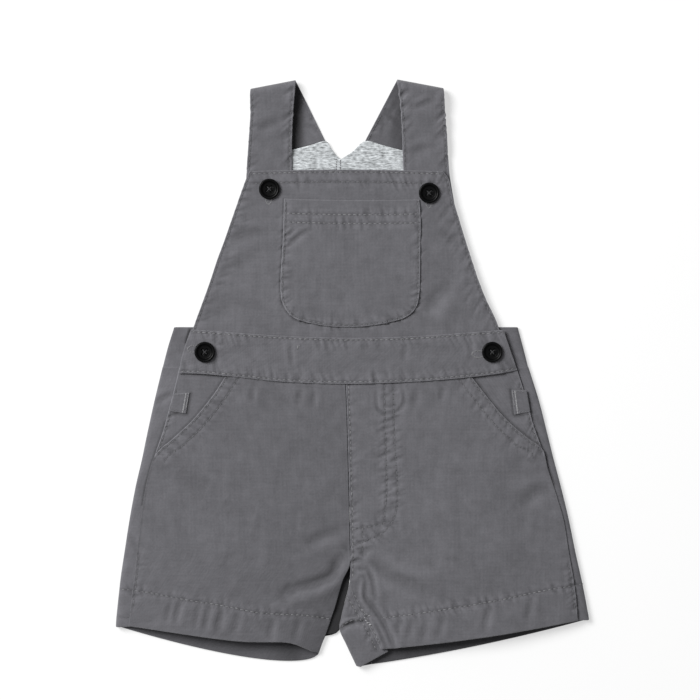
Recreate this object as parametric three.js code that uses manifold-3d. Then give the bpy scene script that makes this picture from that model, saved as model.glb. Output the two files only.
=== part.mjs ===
// Short baby dungarees laid flat on their back, the straps folded over at the shoulders
// and buttoned to the bib.
// Millimetres. X runs to the viewer's right, Y towards the shoulders and Z up.
// The origin is on the surface that the garment lies on, under the middle of its box.
// Left and right are the viewer's.
import * as THREE from 'three';
import { mergeVertices } from 'three/addons/utils/BufferGeometryUtils.js';
import Module from 'manifold-3d';

// Cloth
const CLOTH = 1.0;
const STRAP_CLOTH = 1.4;
const HEM_CLOTH = 1.6;
const GAP = 0.3;

// Heights of the upper faces of the layers
const LINING_TOP = CLOTH + GAP + CLOTH;
const WRAP_TOP = 3.2;
const FACING_TOP = WRAP_TOP + GAP + CLOTH;
const FRONT_TOP = FACING_TOP + GAP + CLOTH;
const ONLAY_TOP = FRONT_TOP + GAP + CLOTH;

// Places across and along the garment
const CENTRE_SEAM_GAP = GAP / 2;
const WAIST_SEAM_Y = 4.5;
const WAIST_TOP_Y = 33.5;
const SEAM_LAP = 4.5;
const INSEAM_LAP = 8;
const LINING_DEPTH_SHARE = 0.34;
const WAISTBAND_END_LENGTH = 12;
const WAISTBAND_END_DROP = 1.2;
const INSEAM_ROLL = 5;

// Steps of the walls
const FOLD_STEPS = 5;
const FLOOR_SHARES = [0, 0.04, 0.1, 0.25, 0.5, 0.75];

// Buttons
const BUTTON = {
  radius: 7.5, height: 2.5, rim: 1.9, dish: 1.3, edge: 0.7,
  holeRadius: 0.85, holePitch: 1.55, sides: 24, holeSides: 6,
};
const BUTTONS = [
  { name: 'button_bib_left', x: -60.6, y: 134.0, floor: FRONT_TOP + GAP },
  { name: 'button_bib_right', x: 55.8, y: 131.1, floor: FRONT_TOP + GAP },
  { name: 'button_waist_left', x: -107.5, y: 15.3, floor: ONLAY_TOP + GAP },
  { name: 'button_waist_right', x: 101.7, y: 15.3, floor: ONLAY_TOP + GAP },
];

// The largest folds of the front: a trough from one end to the other, or a ridge
// where the depth is negative
const FOLDS = [
  { fromX: -6, fromY: -118, toX: -47, toY: -156, halfWidth: 8, depth: 1.6 },
  { fromX: -22, fromY: -112, toX: -62, toY: -148, halfWidth: 7, depth: 0.9 },
  { fromX: -14, fromY: -133, toX: -36, toY: -160, halfWidth: 5, depth: -0.8 },
  { fromX: 12, fromY: -134, toX: 43, toY: -161, halfWidth: 7, depth: 1.5 },
  { fromX: 22, fromY: -146, toX: 34, toY: -170, halfWidth: 5, depth: -0.9 },
  { fromX: 104, fromY: -105, toX: 134, toY: -89, halfWidth: 6, depth: 1.2 },
  { fromX: 71, fromY: 74, toX: 55, toY: 44, halfWidth: 7, depth: 1.3 },
  { fromX: -88, fromY: 98, toX: -60, toY: 104, halfWidth: 5, depth: 1.0 },
  { fromX: -96, fromY: 74, toX: -66, toY: 88, halfWidth: 6, depth: 0.8 },
];

// Front of each leg, a row for each line across it from the inner edge to the outer one,
// from the waist to the hem. The outer edge is the pocket's opening down to the seventh row
// and the side seam below it. Heights are of the upper face.
const FRONT_LEFT = [
  { inX: -5.1, inY: -3, outX: -88.5, outY: 2.6, inZ: 5.8, crown: 0, outZ: 5.8 },
  { inX: -4.9, inY: -9, outX: -92.6, outY: -2.6, inZ: 5.8, crown: 0, outZ: 5.8 },
  { inX: -4.3, inY: -23, outX: -100.5, outY: -14.7, inZ: 5.8, crown: 0, outZ: 5.8 },
  { inX: -3.8, inY: -38, outX: -109.9, outY: -26.8, inZ: 5.8, crown: 0.2, outZ: 5.8 },
  { inX: -3.4, inY: -53, outX: -119.1, outY: -37, inZ: 5.8, crown: 0.6, outZ: 5.8 },
  { inX: -3, inY: -68, outX: -130.3, outY: -47.3, inZ: 5.8, crown: 1, outZ: 5.8 },
  { inX: -2.6, inY: -83, outX: -143.4, outY: -59.3, inZ: 5.8, crown: 1.6, outZ: 5.8 },
  { inX: -2.2, inY: -98, outX: -149.4, outY: -77.1, inZ: 5.8, crown: 2.2, outZ: 5.4 },
  { inX: -1.9, inY: -112, outX: -152.2, outY: -92.7, inZ: 5.8, crown: 3, outZ: 5.5 },
  { inX: -1.7, inY: -126, outX: -154.6, outY: -111, inZ: 5.8, crown: 3.7, outZ: 5.7 },
  { inX: -1.6, inY: -139.5, outX: -157, outY: -130.2, inZ: 5.6, crown: 4.3, outZ: 6 },
  { inX: -7, inY: -152.1, outX: -158.6, outY: -146, inZ: 3.8, crown: 4.9, outZ: 6.4 },
  { inX: -12.6, inY: -171.2, outX: -160.6, outY: -162, inZ: 3.6, crown: 5.4, outZ: 7.2 },
  { inX: -18.5, inY: -189, outX: -162, outY: -175, inZ: 3.6, crown: 5.7, outZ: 7.5 },
  { inX: -24.6, inY: -204, outX: -162.9, outY: -184.2, inZ: 3.6, crown: 5.9, outZ: 7.6 },
];
const FRONT_RIGHT = [
  { inX: -5.1, inY: -3, outX: 83.5, outY: 1.6, inZ: 5.8, crown: 0, outZ: 5.8 },
  { inX: -4.9, inY: -9, outX: 87.5, outY: -3.5, inZ: 5.8, crown: 0, outZ: 5.8 },
  { inX: -4.3, inY: -24, outX: 99.1, outY: -18.4, inZ: 5.8, crown: 0, outZ: 5.8 },
  { inX: -3.8, inY: -38, outX: 108.4, outY: -29.6, inZ: 5.8, crown: 0.2, outZ: 5.8 },
  { inX: -3.4, inY: -53, outX: 117.7, outY: -38.9, inZ: 5.8, crown: 0.6, outZ: 5.8 },
  { inX: -3, inY: -68, outX: 128.9, outY: -48.2, inZ: 5.8, crown: 1, outZ: 5.8 },
  { inX: -2.6, inY: -84, outX: 138.7, outY: -55.8, inZ: 5.8, crown: 1.6, outZ: 5.8 },
  { inX: -2.2, inY: -99, outX: 142.5, outY: -70, inZ: 5.8, crown: 2.2, outZ: 5.5 },
  { inX: -1.9, inY: -113, outX: 148.2, outY: -87, inZ: 5.8, crown: 3, outZ: 5.5 },
  { inX: -1.7, inY: -128, outX: 154.2, outY: -108, inZ: 5.8, crown: 3.7, outZ: 5.7 },
  { inX: -1.6, inY: -142, outX: 157.7, outY: -130.2, inZ: 5.8, crown: 4.3, outZ: 6 },
  { inX: -1.8, inY: -155, outX: 160.5, outY: -146, inZ: 6.1, crown: 4.8, outZ: 6.4 },
  { inX: 3.2, inY: -169.5, outX: 162.5, outY: -159, inZ: 6.6, crown: 5, outZ: 7.1 },
  { inX: 10.3, inY: -181.2, outX: 163.5, outY: -169, inZ: 7.6, crown: 5, outZ: 7.4 },
  { inX: 14.7, inY: -190, outX: 164, outY: -175.5, inZ: 7.8, crown: 5, outZ: 7.6 },
  { inX: 20.4, inY: -201.2, outX: 164.4, outY: -180.2, inZ: 7.9, crown: 5, outZ: 7.7 },
];
// The front hems: the right one bows down in its middle, and the left one is lifted near the
// inner edge, most at the hem and less in the two rows above it
const FRONT_HEM = { leftBow: 0, leftLift: 4.7, rightBow: 2, rightLift: 0 };
const LIFT_PLACE = 0.165;
const LIFT_SHARPNESS = 3;
const LIFT_SHARES = [0.2, 0.5, 1];
const LIFT_HEIGHT_SHARE = 0.5;
const FRONT_COLUMNS = [0, 0.012, 0.03, 0.065, 0.12, 0.19, 0.27, 0.36, 0.46, 0.57, 0.68, 0.79, 0.9, 1];

// Back of each leg, a row for each line from the inner edge along the surface to the
// outer fold and round it to the side seam on the front. The bow lowers the line where its
// share to the power of the leg's skew is a half.
const BACK_SKEW = { left: 0.6, right: 1 };
const BACK_LEFT = [
  { inX: -2.2, inY: 4.2, foldX: -138.4, foldY: 4.2, seamX: -126.2, seamY: 4.2, top: 3.2, bow: 0 },
  { inX: -2.2, inY: -20, foldX: -144.4, foldY: -20, seamX: -132, seamY: -20, top: 3.2, bow: 0 },
  { inX: -2.2, inY: -45, foldX: -149.9, foldY: -45, seamX: -138.9, seamY: -45, top: 3.2, bow: 0 },
  { inX: -2.2, inY: -63, foldX: -153.6, foldY: -63, seamX: -144.9, seamY: -63, top: 3.2, bow: 0 },
  { inX: -2.2, inY: -82, foldX: -158, foldY: -82, seamX: -150.3, seamY: -82, top: 3.6, bow: 0 },
  { inX: -2.2, inY: -105, foldX: -162.3, foldY: -105, seamX: -153.8, seamY: -105, top: 4, bow: 0 },
  { inX: -2.2, inY: -130, foldX: -166.2, foldY: -130, seamX: -157, seamY: -130, top: 4.4, bow: 0 },
  { inX: -2.9, inY: -152, foldX: -168.9, foldY: -148, seamX: -158.5, seamY: -148, top: 4.8, bow: 1 },
  { inX: -6.7, inY: -169, foldX: -170.7, foldY: -164, seamX: -160.8, seamY: -164, top: 5.2, bow: 3 },
  { inX: -10.1, inY: -187.5, foldX: -172, foldY: -176.5, seamX: -162, seamY: -176.5, top: 5.5, bow: 6 },
  { inX: -18.3, inY: -189.6, foldX: -172.2, foldY: -178.5, seamX: -162.2, seamY: -178.5, top: 5.5, bow: 7 },
  { inX: -24.6, inY: -204, foldX: -172.6, foldY: -185.2, seamX: -162.9, seamY: -184.6, top: 5.6, bow: 10.2 },
];
const BACK_RIGHT = [
  { inX: -1.9, inY: 4.2, foldX: 128.2, foldY: 4.2, seamX: 119.4, seamY: 4.2, top: 3.2, bow: 0 },
  { inX: -1.9, inY: -20, foldX: 136, foldY: -20, seamX: 127, seamY: -20, top: 3.2, bow: 0 },
  { inX: -1.9, inY: -42, foldX: 141.6, foldY: -42, seamX: 133.4, seamY: -42, top: 3.2, bow: 0 },
  { inX: -1.9, inY: -63, foldX: 146.8, foldY: -63, seamX: 140.6, seamY: -63, top: 3.2, bow: 0 },
  { inX: -1.9, inY: -82, foldX: 151.8, foldY: -82, seamX: 146.6, seamY: -82, top: 3.6, bow: 0 },
  { inX: -1.9, inY: -105, foldX: 157.4, foldY: -105, seamX: 153.3, seamY: -105, top: 4, bow: 0 },
  { inX: -1.9, inY: -130, foldX: 162.5, foldY: -130, seamX: 157.7, seamY: -130, top: 4.4, bow: 0 },
  { inX: -1.6, inY: -151.5, foldX: 166.5, foldY: -148, seamX: 161, seamY: -148, top: 4.8, bow: 0 },
  { inX: -1.5, inY: -169, foldX: 169.6, foldY: -163, seamX: 162.8, seamY: -163, top: 5.2, bow: 1 },
  { inX: -4.3, inY: -186, foldX: 171.2, foldY: -172, seamX: 163.6, seamY: -172, top: 5.5, bow: 2 },
  { inX: 0.8, inY: -199, foldX: 172, foldY: -176, seamX: 164, seamY: -176, top: 5.6, bow: 2 },
  { inX: 8.5, inY: -213.4, foldX: 172.6, foldY: -180.1, seamX: 164.4, seamY: -180.1, top: 5.7, bow: 2.5 },
];

// The right leg's back wraps the inner fold too, up to the inseam on the front
const INNER_WRAP = [
  { inX: 7, inY: -152.5, foldX: -2.1, foldY: -152.5, seamX: -3.9, seamY: -152.5, top: 4.6, bow: 0 },
  { inX: 6, inY: -160, foldX: -3.8, foldY: -160, seamX: -4.2, seamY: -160, top: 4.7, bow: 0 },
  { inX: 4, inY: -168, foldX: -5.9, foldY: -168, seamX: -1, seamY: -168, top: 5, bow: 0 },
  { inX: 2, inY: -178, foldX: -8.3, foldY: -178, seamX: 5, seamY: -176, top: 5.4, bow: 0 },
  { inX: 1, inY: -187, foldX: -9.4, foldY: -187, seamX: 10, seamY: -186, top: 5.7, bow: 0 },
  { inX: 6, inY: -198.8, foldX: -4.2, foldY: -198.8, seamX: 14.5, seamY: -194.8, top: 5.8, bow: 0 },
  { inX: 14, inY: -212.4, foldX: 3, foldY: -214, seamX: 18, seamY: -202.8, top: 5.9, bow: 0 },
];

// Hip facings that show inside the pocket openings, a row for each line from the side seam
const HIP_LEFT = [
  { aX: -126.2, aY: 4, bX: -76, bY: 4 },
  { aX: -130.3, aY: -13.7, bX: -86, bY: -13.7 },
  { aX: -134, aY: -27.7, bX: -97, bY: -27.7 },
  { aX: -137.8, aY: -41.7, bX: -110, bY: -41.7 },
  { aX: -143.2, aY: -57.5, bX: -126, bY: -57.5 },
  { aX: -144.7, aY: -62, bX: -131, bY: -62 },
];
const HIP_RIGHT = [
  { aX: 119.6, aY: 4, bX: 70, bY: 4 },
  { aX: 124.7, aY: -11.9, bX: 80.5, bY: -11.9 },
  { aX: 128.9, aY: -26.8, bX: 92, bY: -26.8 },
  { aX: 132.6, aY: -39.9, bX: 105, bY: -39.9 },
  { aX: 138.4, aY: -55.6, bX: 124, bY: -55.6 },
  { aX: 140.3, aY: -62, bX: 128.5, bY: -62 },
];

// Tabs caught in the side seams
const TAB_LEFT = [
  { aX: -129.9, aY: -15, bX: -119.7, bY: -14.4 },
  { aX: -132.9, aY: -28, bX: -122.1, bY: -29.4 },
];
const TAB_RIGHT = [
  { aX: 130, aY: -12.6, bX: 115.8, bY: -12.2 },
  { aX: 132.2, aY: -27.6, bX: 117.9, bY: -30.3 },
];

// Bib from its top edge to the waistband, a row for each line from left to right
const BIB = [
  { aX: -74.8, aY: 147, bX: 66.2, bY: 146.8, bowY: -1.3 },
  { aX: -77.7, aY: 140.9, bX: 70.4, bY: 140.9, bowY: -1 },
  { aX: -82.9, aY: 126.3, bX: 73.4, bY: 126.3, bowY: 0 },
  { aX: -88, aY: 111.7, bX: 77.7, bY: 111.7, bowY: 0 },
  { aX: -93.1, aY: 97.1, bX: 82.1, bY: 97.1, bowY: 0 },
  { aX: -98.5, aY: 82.5, bX: 86.8, bY: 82.5, bowY: 0 },
  { aX: -103.3, aY: 67.9, bX: 91.6, bY: 67.9, bowY: 1 },
  { aX: -108.5, aY: 53.3, bX: 97.4, bY: 53.3, bowY: 2.5 },
  { aX: -113.9, aY: 38.7, bX: 104.4, bY: 38.7, bowY: 4.5 },
  { aX: -117.8, aY: 27.5, bX: 108.5, bY: 27, bowY: 6.5 },
];

// Patch pocket on the bib, from its opening to its rounded foot
const BIB_POCKET = [
  { aX: -49.8, aY: 127, bX: 48.8, bY: 126.4, bowY: 0.8 },
  { aX: -50.2, aY: 110, bX: 49.8, bY: 110, bowY: 0 },
  { aX: -50.9, aY: 92, bX: 49.5, bY: 92, bowY: 0 },
  { aX: -52.2, aY: 72, bX: 49.3, bY: 72, bowY: 0 },
  { aX: -52, aY: 56, bX: 48.6, bY: 56, bowY: 0 },
  { aX: -48.9, aY: 46.8, bX: 45.8, bY: 46.8, bowY: 1 },
  { aX: -42.5, aY: 40.2, bX: 38, bY: 40.2, bowY: 2 },
  { aX: -32, aY: 36.6, bX: 24, bY: 36.4, bowY: 3.2 },
];

// Front waistband, a row for each line from its top edge to its bottom edge
const WAISTBAND = [
  { aX: -117.4, aY: 31.6, bX: -126.6, bY: -0.3 },
  { aX: -107, aY: 31, bX: -110, bY: -0.6 },
  { aX: -82, aY: 29.1, bX: -84, bY: -3 },
  { aX: -55, aY: 27.3, bX: -56, bY: -6 },
  { aX: -28, aY: 26.1, bX: -28, bY: -7.5 },
  { aX: -2, aY: 25.6, bX: -2, bY: -8 },
  { aX: 26, aY: 26, bX: 26, bY: -7.3 },
  { aX: 53, aY: 27.3, bX: 55, bY: -5.8 },
  { aX: 80, aY: 29.1, bX: 83, bY: -3.4 },
  { aX: 101, aY: 30.7, bX: 106, bY: -0.6 },
  { aX: 110, aY: 31.4, bX: 120.2, bY: 2 },
];

// Back waistband, wrapped round both sides and buttoned under the front one
const BACK_WAISTBAND = [
  { y: WAIST_TOP_Y, leftFold: -130, rightFold: 120.5, leftEnd: -96, rightEnd: 90 },
  { y: (WAIST_TOP_Y + WAIST_SEAM_Y) / 2, leftFold: -134.6, rightFold: 124.4, leftEnd: -96, rightEnd: 90 },
  { y: WAIST_SEAM_Y, leftFold: -138.3, rightFold: 128.1, leftEnd: -97, rightEnd: 91 },
];

// Back bib, a row for each line from the strap seam or neckline down to the waistband
const BACK_BIB = [
  { aX: -52.4, aY: 160.7, bX: -108, bY: 33.8, bowX: 7 },
  { aX: -43.7, aY: 163, bX: -84, bY: 33.8, bowX: 4 },
  { aX: -32, aY: 165.8, bX: -62, bY: 33.8, bowX: 2 },
  { aX: -19.9, aY: 169.2, bX: -40, bY: 33.8, bowX: 0 },
  { aX: -15.5, aY: 163.8, bX: -30, bY: 33.8, bowX: 0 },
  { aX: -11.4, aY: 158.4, bX: -18, bY: 33.8, bowX: 0 },
  { aX: -8.4, aY: 156.3, bX: -8, bY: 33.8, bowX: 0 },
  { aX: -5.5, aY: 157.9, bX: 2, bY: 33.8, bowX: 0 },
  { aX: 0, aY: 161.5, bX: 12, bY: 33.8, bowX: 0 },
  { aX: 9.3, aY: 169.2, bX: 30, bY: 33.8, bowX: 0 },
  { aX: 22, aY: 166.2, bX: 54, bY: 33.8, bowX: -2 },
  { aX: 31, aY: 163.8, bX: 74, bY: 33.8, bowX: -4 },
  { aX: 44.7, aY: 160.3, bX: 98, bY: 33.8, bowX: -7 },
];

// Straps: lines across the front length from its end under the bib, with the height of its
// upper face, then the open fold over the shoulder, then the seam to the back bib
const STRAP_LEFT = {
  front: [
    { outX: -78.6, outY: 121, inX: -45.5, inY: 121, top: 4.5 },
    { outX: -77.2, outY: 147, inX: -44.3, inY: 147, top: 4.5 },
    { outX: -75.4, outY: 172, inX: -43.9, inY: 174, top: 6 },
    { outX: -74.4, outY: 188, inX: -42.9, inY: 193, top: 7.6 },
    { outX: -74.5, outY: 197, inX: -42, inY: 203, top: 8.6 },
  ],
  fold: { outX: -74.5, outY: 207.1, inX: -41.4, inY: 213.5 },
  seam: { outX: -52.4, outY: 161.2, inX: -19.8, inY: 169.8 },
};
const STRAP_RIGHT = {
  front: [
    { outX: 74.4, outY: 123, inX: 40.8, inY: 121, top: 4.5 },
    { outX: 70.5, outY: 147, inX: 37.2, inY: 147, top: 4.5 },
    { outX: 69, outY: 170, inX: 36.3, inY: 172, top: 6 },
    { outX: 67.6, outY: 188, inX: 35, inY: 193, top: 7.6 },
    { outX: 67, outY: 197.5, inX: 33.8, inY: 203.5, top: 8.6 },
  ],
  fold: { outX: 66.5, outY: 207.6, inX: 32.5, inY: 214 },
  seam: { outX: 44.8, outY: 160.8, inX: 9.2, inY: 169.8 },
};
const STRAP_FOLD_TOP = 9;
const STRAP_ACROSS = 3;
const STRAP_BACK_ROWS = 3;

const wasm = await Module();
wasm.setup();

const group = new THREE.Group();

// Materials
const COLOURS = {
  chambray: { color: 0x6b6b70, roughness: 0.9 },
  marl: { color: 0xc6cbce, roughness: 0.95 },
  button: { color: 0x16161a, roughness: 0.25 },
};

function addMesh(name, geometry, finish) {
  geometry.computeVertexNormals();
  const material = new THREE.MeshStandardMaterial({ ...COLOURS[finish], metalness: 0 });
  const mesh = new THREE.Mesh(geometry, material);
  mesh.name = name;
  group.add(mesh);
}

const lerp = THREE.MathUtils.lerp;

// A row between the rows of a table, smooth through them, at a share t of its length
function rowAt(rows, t) {
  const place = t * (rows.length - 1);
  const first = Math.min(Math.floor(place), rows.length - 2);
  const w = place - first;
  const near = [-1, 0, 1, 2].map((k) => rows[THREE.MathUtils.clamp(first + k, 0, rows.length - 1)]);
  const row = {};
  for (const key of Object.keys(rows[first])) {
    const [a, b, c, d] = near.map((r) => r[key]);
    row[key] = b + 0.5 * w * (c - a + w * (2 * a - 5 * b + 4 * c - d + w * (3 * b - a - 3 * c + d)));
  }
  return row;
}

// Change of height that the folds give the front at a point
function foldHeight(x, y) {
  let height = 0;
  for (const fold of FOLDS) {
    const runX = fold.toX - fold.fromX;
    const runY = fold.toY - fold.fromY;
    const share = ((x - fold.fromX) * runX + (y - fold.fromY) * runY) / (runX * runX + runY * runY);
    const along = THREE.MathUtils.clamp(share, 0, 1);
    const away = Math.hypot(x - fold.fromX - along * runX, y - fold.fromY - along * runY);
    height -= fold.depth * Math.exp(-((away / fold.halfWidth) ** 2));
  }
  return height;
}

// One closed body from a grid of points on the outer face and one on the inner face
function closedWall(outer, inner) {
  const rows = outer.length;
  const columns = outer[0].length;
  const positions = [];
  for (const grid of [outer, inner]) {
    for (const row of grid) {
      for (const point of row) positions.push(point.x, point.y, point.z);
    }
  }
  const at = (face, i, j) => face * rows * columns + i * columns + j;
  const triangles = [];
  const quad = (a, b, c, d) => triangles.push(a, b, c, a, c, d);
  for (let i = 0; i + 1 < rows; i += 1) {
    for (let j = 0; j + 1 < columns; j += 1) {
      quad(at(0, i, j), at(0, i, j + 1), at(0, i + 1, j + 1), at(0, i + 1, j));
      quad(at(1, i, j), at(1, i + 1, j), at(1, i + 1, j + 1), at(1, i, j + 1));
    }
  }
  const rim = [];
  for (let j = 0; j < columns - 1; j += 1) rim.push([0, j]);
  for (let i = 0; i < rows - 1; i += 1) rim.push([i, columns - 1]);
  for (let j = columns - 1; j > 0; j -= 1) rim.push([rows - 1, j]);
  for (let i = rows - 1; i > 0; i -= 1) rim.push([i, 0]);
  rim.forEach(([i, j], k) => {
    const [ni, nj] = rim[(k + 1) % rim.length];
    quad(at(0, i, j), at(1, i, j), at(1, ni, nj), at(0, ni, nj));
  });
  const geometry = new THREE.BufferGeometry();
  geometry.setAttribute('position', new THREE.Float32BufferAttribute(positions, 3));
  geometry.setIndex(volumeOf(positions, triangles) < 0 ? triangles.reverse() : triangles);
  return geometry;
}

function volumeOf(positions, triangles) {
  const corner = (k) => new THREE.Vector3().fromArray(positions, 3 * triangles[k]);
  let sum = 0;
  for (let k = 0; k < triangles.length; k += 3) {
    sum += corner(k).dot(corner(k + 1).cross(corner(k + 2)));
  }
  return sum / 6;
}

// How far the lifted hem is raised at a share u across the leg: 1 at its highest place
const liftAt = (u) => ((u / LIFT_PLACE) * Math.exp(1 - u / LIFT_PLACE)) ** LIFT_SHARPNESS;

// A panel with its upper face at height(x, y, u, row), between the edges a and b of its rows
function panelGrid(rows, steps, shares, height) {
  const grid = [];
  for (let i = 0; i <= steps; i += 1) {
    const row = rowAt(rows, i / steps);
    grid.push(shares.map((u) => {
      const arch = 4 * u * (1 - u);
      const x = lerp(row.aX, row.bX, u) + (row.bowX ?? 0) * arch;
      const y = lerp(row.aY, row.bY, u) - (row.bowY ?? 0) * arch + (row.lift ?? 0) * liftAt(u);
      return new THREE.Vector3(x, y, height(x, y, u, row));
    }));
  }
  return grid;
}

function lowered(grid, thickness) {
  return grid.map((row, i) => row.map((p) => new THREE.Vector3(p.x, p.y, p.z - thickness(i / (grid.length - 1)))));
}

function panel(rows, steps, shares, height, thickness = () => CLOTH) {
  const top = panelGrid(rows, steps, shares, height);
  return closedWall(top, lowered(top, thickness));
}

function evenShares(count, from = 0, to = 1) {
  return Array.from({ length: count + 1 }, (_, k) => lerp(from, to, k / count));
}

// A wall through sections that bend in the plane of X and Z, its inner face set in
// along each section's own normal
function bentWall(sections, thickness) {
  const inner = sections.map((points, i) => points.map((p, j) => {
    const before = points[Math.max(j - 1, 0)];
    const after = points[Math.min(j + 1, points.length - 1)];
    const toBefore = new THREE.Vector2(p.x - before.x, p.z - before.z).normalize();
    const toAfter = new THREE.Vector2(after.x - p.x, after.z - p.z).normalize();
    const tangent = toBefore.add(toAfter).normalize();
    const turn = Math.sign(points[0].x - points[Math.floor(points.length / 2)].x) || 1;
    const depth = thickness(i);
    return new THREE.Vector3(p.x + turn * tangent.y * depth, p.y, p.z - turn * tangent.x * depth);
  }));
  return closedWall(sections, inner);
}

// A section along the surface from its inner end, round a fold and back on top
function foldedSection(row, lap, skew = 1) {
  const side = Math.sign(row.foldX - row.inX);
  const radius = row.top / 2;
  const turnX = row.foldX - side * radius;
  const points = [];
  for (const u of FLOOR_SHARES) {
    const bent = u ** skew;
    const y = lerp(row.inY, row.foldY, u) - row.bow * 4 * bent * (1 - bent);
    points.push(new THREE.Vector3(lerp(row.inX, turnX, u), y, 0));
  }
  for (let k = 0; k <= FOLD_STEPS; k += 1) {
    const angle = -Math.PI / 2 + Math.PI * k / FOLD_STEPS;
    const x = turnX + side * radius * Math.cos(angle);
    points.push(new THREE.Vector3(x, row.foldY, radius + radius * Math.sin(angle)));
  }
  points.push(new THREE.Vector3(row.seamX - side * lap, row.seamY, row.top));
  return points;
}

function manifoldOf(geometry) {
  const plain = new THREE.BufferGeometry();
  plain.setAttribute('position', geometry.getAttribute('position').clone());
  if (geometry.index) plain.setIndex(geometry.index.clone());
  const merged = mergeVertices(plain, 1e-4);
  return new wasm.Manifold(new wasm.Mesh({
    numProp: 3,
    vertProperties: new Float32Array(merged.getAttribute('position').array),
    triVerts: new Uint32Array(merged.index.array),
  }));
}

function geometryOf(solid) {
  const mesh = solid.getMesh();
  const geometry = new THREE.BufferGeometry();
  geometry.setAttribute('position', new THREE.BufferAttribute(mesh.vertProperties, 3));
  geometry.setIndex(new THREE.BufferAttribute(mesh.triVerts, 1));
  return geometry;
}

// Back of the legs
const hemFrom = (rows, count) => (i) => (i >= rows.length - count ? HEM_CLOTH : CLOTH);
const leftSections = BACK_LEFT.map((row) => foldedSection(row, SEAM_LAP, BACK_SKEW.left));
const backLeft = bentWall(leftSections, hemFrom(BACK_LEFT, 3));
addMesh('back_leg_left', backLeft, 'chambray');

const rightSections = BACK_RIGHT.map((row) => foldedSection(row, SEAM_LAP, BACK_SKEW.right));
const backRight = bentWall(rightSections, hemFrom(BACK_RIGHT, 3));
const innerWrap = bentWall(INNER_WRAP.map((row) => foldedSection(row, INSEAM_LAP)), hemFrom(INNER_WRAP, 3));
addMesh('back_leg_right', geometryOf(manifoldOf(backRight).add(manifoldOf(innerWrap))), 'chambray');

// Front of the legs
function legHeight(x, y, u, row) {
  const base = lerp(FRONT_TOP, row.outZ, u) + row.crown * Math.sin(Math.PI * u);
  const width = Math.abs(row.bX - row.aX);
  const rolled = row.inZ + (base - row.inZ) * (1 - Math.exp(-u * width / INSEAM_ROLL));
  const raised = base + (row.inZ - FRONT_TOP) * (1 - u) ** 3;
  const lifted = LIFT_HEIGHT_SHARE * row.lift * liftAt(u);
  return (row.inZ < FRONT_TOP ? rolled : raised) + lifted + foldHeight(x, y);
}

function frontLeg(table, side, bow, lift) {
  const last = table.length - 1;
  const rows = table.map((row, i) => ({
    aX: row.inX + side * CENTRE_SEAM_GAP,
    aY: row.inY,
    bX: row.outX,
    bY: row.outY,
    bowY: i === last ? bow : 0,
    lift: lift * (LIFT_SHARES[i - last + 2] ?? 0),
    inZ: row.inZ,
    crown: row.crown,
    outZ: row.outZ,
  }));
  const hemShare = (last - 2) / last;
  const thickness = (t) => (t > hemShare - 0.01 ? HEM_CLOTH : CLOTH);
  return panel(rows, last, FRONT_COLUMNS, legHeight, thickness);
}
const frontLeft = frontLeg(FRONT_LEFT, -1, FRONT_HEM.leftBow, FRONT_HEM.leftLift);
const frontRight = frontLeg(FRONT_RIGHT, 1, FRONT_HEM.rightBow, FRONT_HEM.rightLift);
addMesh('front_leg_left', frontLeft, 'chambray');
addMesh('front_leg_right', frontRight, 'chambray');

// Hip facings and side tabs
const flatAt = (top) => () => top;
addMesh('hip_facing_left', panel(HIP_LEFT, 5, evenShares(2), flatAt(FACING_TOP)), 'chambray');
addMesh('hip_facing_right', panel(HIP_RIGHT, 5, evenShares(2), flatAt(FACING_TOP)), 'chambray');
addMesh('side_tab_left', panel(TAB_LEFT, 2, evenShares(2), flatAt(FRONT_TOP)), 'chambray');
addMesh('side_tab_right', panel(TAB_RIGHT, 2, evenShares(2), flatAt(FRONT_TOP)), 'chambray');

// Bib, its pocket and the front waistband
const bibHeight = (x, y) => FRONT_TOP + foldHeight(x, y);
const onlayHeight = (x, y) => ONLAY_TOP + foldHeight(x, y);
addMesh('bib', panel(BIB, 14, evenShares(16), bibHeight), 'chambray');
addMesh('bib_pocket', panel(BIB_POCKET, 10, evenShares(10), onlayHeight), 'chambray');

function waistbandHeight(x) {
  const fromLeft = x - WAISTBAND[0].bX;
  const fromRight = WAISTBAND[WAISTBAND.length - 1].bX - x;
  const toEnd = Math.min(fromLeft, fromRight) / WAISTBAND_END_LENGTH;
  return ONLAY_TOP - WAISTBAND_END_DROP * Math.max(0, 1 - toEnd) ** 2;
}
addMesh('waistband_front', panel(WAISTBAND, 20, evenShares(3), waistbandHeight), 'chambray');

// Back waistband, from its left end on top, round both folds, to its right end on top
function bandSection(row) {
  const radius = WRAP_TOP / 2;
  const leftTurn = row.leftFold + radius;
  const rightTurn = row.rightFold - radius;
  const points = [new THREE.Vector3(row.leftEnd, row.y, WRAP_TOP)];
  for (let k = 0; k <= FOLD_STEPS; k += 1) {
    const angle = Math.PI / 2 + Math.PI * k / FOLD_STEPS;
    points.push(new THREE.Vector3(leftTurn + radius * Math.cos(angle), row.y, radius + radius * Math.sin(angle)));
  }
  for (let k = 0; k <= FOLD_STEPS; k += 1) {
    const angle = -Math.PI / 2 + Math.PI * k / FOLD_STEPS;
    points.push(new THREE.Vector3(rightTurn + radius * Math.cos(angle), row.y, radius + radius * Math.sin(angle)));
  }
  points.push(new THREE.Vector3(row.rightEnd, row.y, WRAP_TOP));
  return points;
}
addMesh('waistband_back', bentWall(BACK_WAISTBAND.map(bandSection), () => CLOTH), 'chambray');

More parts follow.
